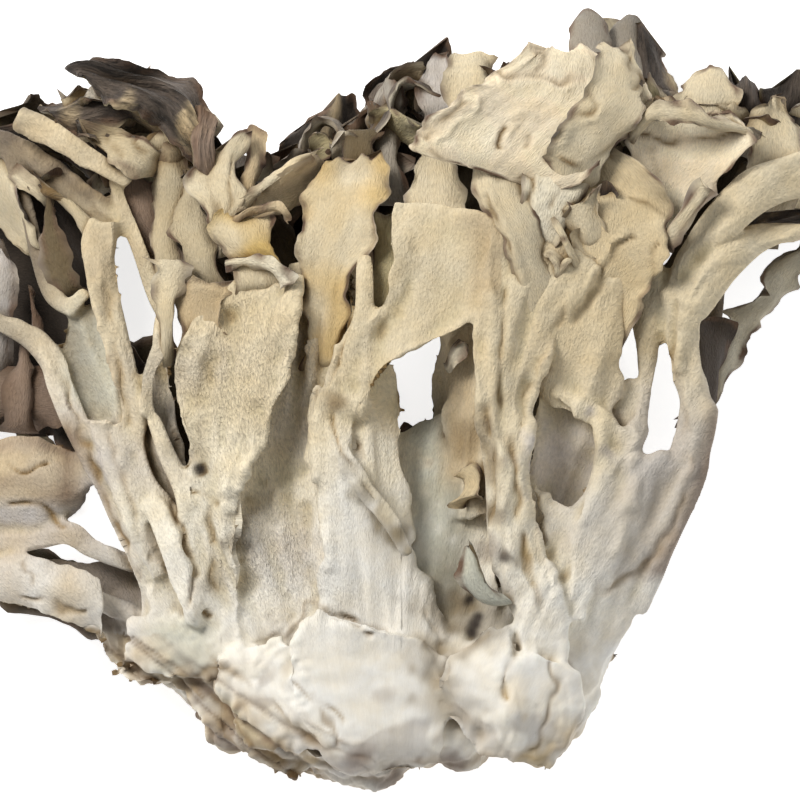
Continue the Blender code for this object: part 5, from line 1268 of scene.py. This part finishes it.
pieces = [frond(name, *facts) for name, facts in MIDDLE_FRONDS.items()]
pieces.append(frond("ochre_frond", [
    (-19.5, 84, 43.5, -14, 84, 45), (-19, 95, 45, -11.5, 95, 46.5), (-20, 104, 45, -10, 104.5, 47),
    (-21, 112, 44.5, -4.5, 113, 47), (-19.5, 120, 42, -3, 121, 46),
    (-15, 128.5, 38, -4, 130, 41)], -0.8, 1, 0.8, 1.2, OCHRE, ragged=0.7, curl=1, lobes=0.2, cell=0.6))
pieces.append(frond("bright_strap", [
    (27, 87, 46.5, 33, 92, 46), (24.5, 95, 49, 31.5, 100, 48.5), (21.8, 104, 52, 29.5, 108, 51),
    (19.5, 112, 53, 27.5, 115.5, 52), (15.5, 119.5, 51, 25, 122.5, 50),
    (14, 128, 47, 29, 130, 46)], 1.4, 0, 0.3, 1.4, CREAM, ragged=0.5, curl=0.3, lobes=0.3))
pieces.append(frond("biggest_frond", [
    (5.5, 128.8, 56, 30, 120.5, 50.5), (3, 131.5, 57, 37, 124, 52.5), (5, 135.5, 56, 43, 130, 51.5),
    (9.5, 139, 53, 48.5, 136.5, 50), (15.5, 142.5, 50.5, 50.5, 141, 46.5), (20, 147, 48.5, 48, 147.5, 43.5),
    (25, 149.5, 45.5, 42, 151, 40)], -1.6, 0.3, 0.9, 1.2, BRIGHT, ragged=0.8, curl=1.6, lobes=0.8,
    folds=0.12, dive=0, cell=0.5))
pieces.append(frond("frond_neck", [
    (25, 106, 48, 30, 105, 47), (24.5, 112, 50, 31.5, 111, 49), (23.5, 119, 51.5, 35, 116, 50),
    (24, 125, 51.5, 38, 123, 51), (25, 129, 51, 39, 129, 50)], 1, 0, 1, 1.2, PALE, ragged=0.6, curl=1,
    lobes=0.6, cell=0.6))
hand_over(join(pieces, "middle_crown_fronds"))

# The right crown: a wide sheet, a frond dried into a bowl with a rolled lip, and grey fronds that stand up
# behind. They are the thin ends of the right trunk's arms, and grew out of them.
RIGHT_FRONDS = {
    "right_crown_sheet": ([
        (31, 88, 45, 42, 88, 43), (30, 98, 47.5, 47, 98, 45.5), (31.5, 107, 50, 53, 106, 48),
        (32.5, 114, 50.5, 55, 113, 50), (33, 121, 51, 53, 121.5, 50),
        (34, 129, 50.5, 44, 131, 49)], -1.2, 1, 1, 1.4, PEACH),
    "cream_twin_lobe": ([
        (54, 128, 38, 66, 128, 38), (55, 136, 37, 67, 135, 37), (55, 141, 35, 67.5, 141, 36),
        (57, 145, 32, 66.5, 145.5, 33)], 1, 0.5, 1, 1.2, CREAM),
    "right_crown_leaf": ([
        (68, 118, 43, 80, 119, 41), (69, 124, 42, 81, 125, 40), (70, 131, 40, 80.5, 131, 38),
        (72, 137, 37, 79, 137, 35), (74, 140.5, 35, 77, 140.5, 34)], -1.5, 1, 1, 1.2, CREAM),
    "far_crown_leaf": ([
        (77, 120, 38, 88, 120, 34), (78, 128, 35, 90, 128, 31),
        (79, 136, 32, 90, 136, 28)], -1, 1, 1, 1.2, CREAM),
    "right_bowl": ([
        (49, 112, 43, 57, 112, 45), (45.5, 120, 46, 60, 120, 47), (44.5, 127, 49, 67, 126, 48),
        (45.5, 133, 51, 70.5, 131.5, 46), (50, 138.5, 51, 68, 135, 46)], -3.5, 1, 0.5, 1.3, BRIGHT),
    "bowl_lip": ([
        (44.5, 134, 50, 45.5, 130, 49), (50.5, 139.5, 53, 51, 135, 52), (57, 139.5, 53.5, 57, 134.5, 52.5),
        (63, 137, 51.5, 63, 133, 51), (70.5, 135.5, 47, 70.5, 132, 47)], 1.5, 0.5, 0.5, 1.2, CREAM),
    "curled_leaf": ([
        (32, 103, 47, 38, 102, 48), (33.5, 108.5, 51, 40, 108, 50),
        (34.5, 113.5, 50, 40.5, 113.5, 48.5)], -1.5, 1, 0.6, 1.2, CREAM),
    "lobe_over_sheet": ([
        (34, 107, 47, 43, 109, 47), (31.5, 115, 49.5, 41.5, 117, 50),
        (31.5, 120, 51.5, 40, 121.5, 51)], 1, 1, 0.8, 1, CREAM),
    "bowl_root_roll": ([
        (50, 112, 49.5, 53, 109, 49.5), (55, 117.5, 51, 57, 114.8, 51),
        (60, 123, 50, 61.5, 120.3, 50)], 1, 0.5, 0.5, 1, CREAM),
    "pale_ragged_frond": ([
        (58, 76, 39, 63, 76, 37), (61, 86, 32, 67, 86, 29), (65, 95, 27, 71, 93, 24),
        (71, 101, 22, 77, 100, 19), (74, 107, 24, 82, 108, 20),
        (84, 116, 22, 89, 111, 18)], 0.5, 1, 1, 1.3, PALE),
}
GREY_TOP_FRONDS = {
    "charcoal_frond": ([
        (57, 76, 40, 62, 77, 36), (57.5, 86, 40, 65, 85, 33), (58.5, 96, 35, 67.5, 95, 28)], 1, 2, 1, 1.3,
        DARK * 0.7),
    "grey_top_frond": ([
        (34, 138, 32, 43, 138, 32), (33.5, 150, 27, 43, 150, 27),
        (34.5, 156, 23, 42, 156.5, 23)], 2, 3, 0.5, 1.3, GREY),
    "grey_top_frond_right": ([
        (41, 136, 30, 52, 136, 30), (41.5, 148, 23, 51, 148, 22),
        (42, 154, 19, 50.5, 154, 18)], 2, 3, 0.5, 1.3, GREY),
}
DARK_RIGHT_FRONDS = {
    "dark_right_roll": ([
        (71, 130, 30, 82, 130, 29), (72, 138, 28, 84, 137, 27),
        (73, 143.5, 26, 85, 145, 25)], 2, 1, 1.4, 1.3, DARK),
    "dark_right_knob": ([
        (64, 136, 32, 72, 135, 32), (65, 141, 33, 73, 141, 32),
        (66, 145, 29, 72, 145, 29)], 2.5, 1, 1, 1.3, DARK),
    "dark_top_cap": ([
        (45, 134, 27, 55, 132, 28), (45, 144, 22, 55, 143, 23),
        (45.5, 151, 17, 53.5, 150, 18)], 3, 1.5, 0.8, 1.3, DARK),
    "dark_right_frond": ([
        (60, 110, 43, 62, 104, 43), (66, 114, 39, 69, 110, 40), (74, 119, 34, 75, 112, 33),
        (88, 123, 28, 88, 113, 28)], 0, 1, 1, 1.3, DARK),
}
pieces = [frond(name, *facts) for name, facts in RIGHT_FRONDS.items()]
for name, facts in DARK_RIGHT_FRONDS.items():
    pieces.append(frond(name, *facts, cap_shows=True, back=OLIVE, folds=0.9))
for name, facts in GREY_TOP_FRONDS.items():
    pieces.append(frond(name, *facts, ragged=0.3, curl=1, lobes=0.4))
hand_over(join(pieces, "right_crown_fronds"))

# Slender ribs and twigs: young branches of the same flesh whose fronds never opened, and which dried to thin
# rough stubs on the sheet they grew from.
SLENDER = {
    "rough_twig": [
        (35.5, 106, 50, 1.4), (34, 109, 52.5, 1.6), (32.3, 112.5, 53.5, 1.6), (30.2, 116.3, 53, 1.2)],
    "twig_stub": [
        (31.5, 103, 50, 1.6), (31.8, 106.5, 52, 2), (30, 109, 53, 1.6), (28.6, 108.8, 53, 1)],
    "twig_branch": [
        (31.5, 105, 51.5, 1), (33, 107.4, 53, 1.2), (34.2, 107.8, 53, 0.8)],
}
pieces = []
for name, rows in SLENDER.items():
    piece = tube(name, rows, 0.8, 0.35, 0.3)
    places, _ = points_of(piece)
    give_colour(piece, mix(numpy.tile(CREAM, (len(places), 1)), BROWN, 0.5 * swell(places, 1.5, 3)))
    piece.data.materials.append(PORED)
    pieces.append(piece)
hand_over(join(pieces, "ribs_and_twigs"))

# The back: the first fronds, pressed flat where the cluster lay on the tray. They overlap, close the hollows
# behind the stalks, and most are painted in the shade colour, as painted shade darker than those in front.
BACK_FRONDS = {
    "back_crown_left": ([
        (-24, 96, 20, -22, 112, 20), (-36, 106, 14, -32, 126, 14), (-54, 116, 10, -50, 138, 10),
        (-70, 122, 9, -66, 143, 8), (-84, 128, 12, -80, 142, 11)], -2, 3, 2, 1.3, SHADE),
    # a dark sheet as painted shade, filling the dark cavity behind the left stalks
    "dark_inside_left": ([
        (-54, 60, 22, -50, 84, 24), (-62, 66, 20, -58, 100, 24), (-70, 70, 18, -64, 122, 22),
        (-80, 72, 16, -72, 132, 20), (-90, 76, 15, -84, 132, 18)], -1, 1, 2, 1.3, CAP_SKIN_AND_DEEP_SHADE * 0.6),
    "pink_inside_high": ([
        (-86, 84, 27, -80, 84, 27), (-84, 95, 28, -78, 95, 28), (-83, 104, 28, -77, 104, 29),
        (-82, 111, 27, -78.5, 111, 28)], 1.5, 1, 1.2, 1.2, LAVENDER),
    "pink_inside_low": ([
        (-80, 73, 28, -74, 73, 28), (-79, 82, 29, -73, 83, 29),
        (-78, 90, 28, -74.5, 91, 28)], 1.5, 1, 1.2, 1.2, ROSE),
    "pink_inside_thin": ([
        (-72, 80, 26, -69.5, 80, 26), (-74.5, 93, 27, -72, 93, 27),
        (-76, 103, 27, -74, 104, 27)], 0.8, 1, 0.8, 1.1, ROSE),
    "dark_inside_fold": ([
        (-66, 74, 26, -65, 84, 26), (-74, 74, 26, -72, 86, 27),
        (-86, 72, 24, -86, 88, 24)], 2, 1, 2, 1.3, ROSE),
    "back_left": ([
        (-16, 46, 18, -12, 62, 18), (-30, 58, 15, -27, 74, 15), (-46, 65, 12, -42, 89, 12),
        (-60, 70, 10, -57, 93, 10), (-74, 76, 9, -72, 104, 9), (-88, 82, 12, -88, 110, 11)], -2, 3, 2, 1.3,
        SHADE),
    "back_low_left": ([
        (-30, 24, 20, -30, 40, 20), (-48, 26, 14, -48, 44, 14), (-64, 32, 10, -64, 46, 9),
        (-86, 40, 9, -86, 60, 8)], 2, 3, 1.4, 1.3, SHADE),
    "back_centre": ([
        (-18, 36, 18, 22, 36, 18), (-25, 48, 13, 28, 48, 13), (-27, 60, 10, 28, 60, 10),
        (-21, 72, 9, 20, 71, 9)], -2, 2, 2, 1.3, SHADE),
    "back_upper_left": ([
        (-22, 66, 16, -9, 66, 16), (-30, 80, 12, -5.5, 82, 12), (-36, 94, 9, -4, 97, 10),
        (-38, 110, 7.5, 0, 112, 9), (-34, 124, 9, 4, 124, 10)], -2, 3, 2, 1.3, SHADE),
    "back_upper_right": ([
        (13, 64, 16, 26, 64, 16), (10, 80, 12, 38, 80, 12), (8, 96, 10, 42, 98, 9),
        (6, 112, 9, 47, 112, 7.5), (10, 126, 10, 48, 126, 9)], -2, 3, 2, 1.3, SHADE),
    "back_right": ([
        (30, 40, 17, 44, 40, 19), (35, 52, 12, 54, 51, 14), (38, 65, 10, 60, 62, 12)], 2, 3, 1.4, 1.3, SHADE),
    "back_far_right": ([
        (50, 100, 20, 60, 92, 20), (54, 112, 14, 66, 106, 14), (60, 124, 9, 82, 116, 9),
        (66, 138, 9, 90, 128, 9)], 2, 3, 1.6, 1.3, SHADE),
    "back_cap_left": ([
        (-26, 44, 14, -14, 50, 14), (-38, 50, 9.5, -26, 70, 9.5), (-52, 58, 8.5, -44, 82, 8.5),
        (-62, 70, 10, -58, 84, 10)], -2, 3, 2, 1.3, SHADE),
    "back_cap_low": ([
        (-20, 22, 13, -18, 40, 13), (-34, 20, 9, -32, 46, 9), (-46, 26, 9, -44, 44, 9)], -2, 3, 2, 1.3,
        SHADE),
    "back_cap_middle": ([
        (-16, 62, 11, 10, 62, 11), (-20, 74, 8.5, -4, 72, 9), (-22, 88, 8, -6, 86, 8.5),
        (-18, 98, 9, -8, 98, 9)], -2, 3, 2, 1.3, SHADE),
    "back_cap_right": ([
        (10, 60, 12, 28, 56, 12), (14, 74, 8.5, 38, 70, 9), (20, 88, 8, 40, 84, 8.5),
        (24, 98, 9, 38, 96, 9)], -2, 3, 2, 1.3, SHADE),
}
hand_over(join([frond(name, *facts, cell=1.1) for name, facts in BACK_FRONDS.items()], "back_fronds"))
# Fronds behind the crown; most are painted in the shade colour, as painted shade in the gaps between the
# fronds in front.
CROWN_BACK_FRONDS = {
    "crown_behind_biggest": ([
        (12, 120, 8, 38, 118, 8), (8, 134, 14, 40, 132, 14), (9, 143, 26, 40, 144, 26),
        (14, 143, 38, 38, 145, 37)], -2, 1, 1.6, 1.3, SHADE),
    "crown_behind_right": ([
        (38, 116, 8, 56, 114, 8), (38, 130, 12, 60, 126, 12), (40, 141, 22, 62, 138, 22),
        (42, 142, 34, 60, 138, 34)], -2, 1, 1.6, 1.3, SHADE),
    "crown_behind_middle": ([
        (-14, 114, 7, 8, 114, 7), (-16, 127, 11, 10, 129, 11), (-14, 134, 22, 10, 138, 22)], -1, 1, 1.6,
        1.3, SHADE),
    "crown_silhouette_left": ([
        (-18, 116, 14, -6, 118, 14), (-26, 126, 11, -6, 130, 11),
        (-24, 133, 10, -8, 141, 9)], 1, 1, 1.4, 1.3, DARK),
    "crown_silhouette": ([
        (-8, 122, 14, 10, 122, 14), (-10, 136, 11, 12, 138, 11),
        (-3, 145, 9, 9, 151, 8)], 1, 1, 1.4, 1.3, DARK),
    "crown_behind_left": ([
        (-46, 112, 8, -24, 110, 8), (-46, 124, 13, -20, 122, 13),
        (-44, 129, 25, -22, 129, 24)], -1, 1, 1.6, 1.3, SHADE),
    "crown_far_left": ([
        (-66, 118, 7, -50, 116, 7), (-70, 130, 12, -48, 132, 12), (-70, 138, 22, -48, 142, 22),
        (-64, 138, 32, -48, 141, 33)], -1, 1, 1.6, 1.3, SHADE),
    "crown_far_right": ([
        (60, 114, 9, 76, 112, 9), (60, 128, 12, 84, 124, 12), (62, 138, 22, 84, 136, 20),
        (62, 140, 33, 80, 139, 28)], -1, 1, 1.6, 1.3, SHADE),
}
hand_over(join([frond(name, *facts) for name, facts in CROWN_BACK_FRONDS.items()], "crown_back_fronds"))

# Between the large fronds the crown is full of small curled ones, torn and shrunk by drying, and the back is
# tiled with overlapping caps whose dark skin faces out. They stand at random along the lines where they grew.
SMALL_FRONDS = {    # the line, how many, their size, and the way they lean
    "left_crown_edge": ([(-80, 125, 22), (-66, 131, 24), (-50, 133, 27),
        (-40, 124, 30)], 18, 9, (0, 0.8, 0.5)),
    "left_crown_inside": ([(-74, 120, 26), (-60, 124, 28), (-46, 122, 30),
        (-36, 116, 34)], 12, 9, (-0.2, 0.8, 0.6)),
    "middle_crown_edge": ([(-34, 118, 28), (-20, 122, 28), (-8, 128, 26),
        (2, 135, 24)], 18, 8, (0.1, 0.8, 0.5)),
    "right_crown_inside": ([(29, 106, 43), (33, 111, 45), (38, 115, 45),
        (44, 118, 43)], 9, 5, (0.1, 0.8, 0.5)),
    "right_crown_edge": ([(50, 132, 28), (60, 131, 30), (70, 131, 30),
        (84, 130, 22)], 18, 9, (0.2, 0.8, 0.5)),
    "top_crown_edge": ([(10, 140, 24), (24, 142, 26), (38, 146, 20), (52, 142, 18)], 10, 9, (0, 0.9, 0.3)),
}
BACK_CAPS = {
    "caps_left": ([(-20, 70, 14), (-45, 90, 12), (-66, 108, 13), (-82, 122, 14)], 12, 15, (-0.5, 0.8, -0.2)),
    "caps_low_left": ([(-24, 44, 15), (-46, 56, 13), (-66, 62, 13),
        (-84, 62, 14)], 10, 14, (-0.8, 0.5, -0.2)),
    "caps_middle": ([(-14, 62, 12), (-12, 80, 11), (-10, 98, 12), (-8, 116, 13)], 10, 15, (0, 1, -0.2)),
    "caps_right": ([(22, 60, 13), (28, 78, 11), (36, 96, 11), (44, 114, 13)], 10, 15, (0.2, 1, -0.2)),
    "caps_far_right": ([(44, 56, 15), (56, 76, 15), (64, 100, 14), (80, 118, 14)], 10, 13, (0.6, 0.8, -0.2)),
    "caps_crown": ([(-60, 126, 13), (-30, 122, 13), (10, 128, 13), (40, 128, 13), (70, 124, 13)], 16, 14,
                   (0, 1, -0.1)),
}
SKYLINE = [
    (-90, 130), (-79, 133), (-71, 141), (-65, 146), (-47, 147), (-40, 141), (-38, 136), (-35, 132),
    (-28, 130), (-20, 136), (-8, 141), (0, 147), (5, 150), (34, 150), (37, 158), (46, 157), (53, 153),
    (54, 146), (57, 144), (61, 147), (69, 145), (80, 144), (92, 140)]     # the crown's outline from the front
GAPS = [        # what is behind the cluster shows through these: where, and how far round
    (-51.5, 103, 8), (2, 85, 8), (46, 88, 7), (52.5, 77, 8), (71, 103.5, 5), (-60, 55, 7)]


def scatter(group, line, count, size, lean, faces):
    """Small fronds at random along a line, each a fan on a short neck."""
    draw = numpy.random.default_rng(sum(map(ord, group)))
    line = numpy.array(line, float)
    made = []
    for number in range(count):
        root = along(line, numpy.array([(number + draw.uniform(0.1, 0.9)) / count]))[0]
        root += draw.normal(size=3) * (2, 2, 1)
        way = numpy.array(lean) + draw.normal(size=3) * (0.45, 0.25, 0.2)
        way /= numpy.linalg.norm(way)
        side = numpy.cross(way, (draw.uniform(-0.5, 0.5), draw.uniform(-0.3, 0.3), 1))
        side *= draw.uniform(0.3, 0.5) / numpy.linalg.norm(side)
        long = size * draw.uniform(0.7, 1.3)
        bend = numpy.array((0, 0, draw.uniform(-0.25, 0.25)))
        rows = []
        for share, wide in ((0, 0.45), (0.35, 0.8), (0.7, 1.2), (1, 0.9)):
            at = root + way * long * share + bend * long * share ** 2
            rows.append((*(at - side * long * wide), *(at + side * long * wide)))
        front = faces[draw.integers(len(faces))]
        if any(math.hypot(row[k] - x, row[k + 1] - y) < reach + 1.5
               for row in rows for k in (0, 3) for x, y, reach in GAPS):
            continue
        if any(row[k + 1] > numpy.interp(row[k], *zip(*SKYLINE)) - 0.5 for row in rows for k in (0, 3)):
            continue
        made.append(frond(f"{group}_{number}", rows, draw.uniform(-1.5, 1.5), 1, 1, 1.1, front,
                          cell=1 if "caps" in group else 0.7))
    return made


pieces = []
for name, (line, count, size, lean) in SMALL_FRONDS.items():
    pieces += scatter(name, line, count, size, lean, (CREAM, PALE, TAN, GREY, OLIVE, DARK))
hand_over(join(pieces, "small_crown_fronds"))
pieces = []
for name, (line, count, size, lean) in BACK_CAPS.items():
    pieces += scatter(name, line, count, size, lean, (OLIVE, CREAM, TAN))
hand_over(join(pieces, "back_caps"))

# Painted shade: the flesh is painted darker the more it is closed in by what grew around it. Every point
# looks out in several ways, and the nearer the flesh that it meets, the darker it is.
REACH = 11              # how far off, in millimetres, flesh still closes a point in
corners, faces = [], []
for piece in cluster:
    start = len(corners)
    corners += [tuple(v.co) for v in piece.data.vertices]
    faces += [[start + i for i in polygon.vertices] for polygon in piece.data.polygons]
flesh = bvhtree.BVHTree.FromPolygons(corners, faces)
draw = numpy.random.default_rng(8)
for piece in cluster:
    places, ways = points_of(piece)
    if "outward" in piece.data.attributes:      # not turned at a cut
        ways = gather(piece.data.attributes["outward"].data, "vector", 3).astype(float)
    closed = numpy.zeros(len(places))
    for _ in range(6):
        looks = unit(ways * 1.05 + unit(draw.normal(size=places.shape)))
        starts = (places + FROM_LAYOUT + ways * 0.35) * MM
        for i, (place, look) in enumerate(zip(starts.tolist(), looks.tolist())):
            met = flesh.ray_cast(place, look, REACH * MM)[3]
            if met is not None:
                closed[i] += 1 - met / MM / REACH
    closed = numpy.clip(spread(piece, closed / 6, 3) * 1.8 - 0.35, 0, 1)
    layer = piece.data.color_attributes["tone"]
    tone = gather(layer.data, "color", 4)
    # painted shade, the darker the more closed in
    tone[:, :3] *= 1 - closed[:, None] * (0.66, 0.74, 0.84)
    layer.data.foreach_set("color", tone.ravel())
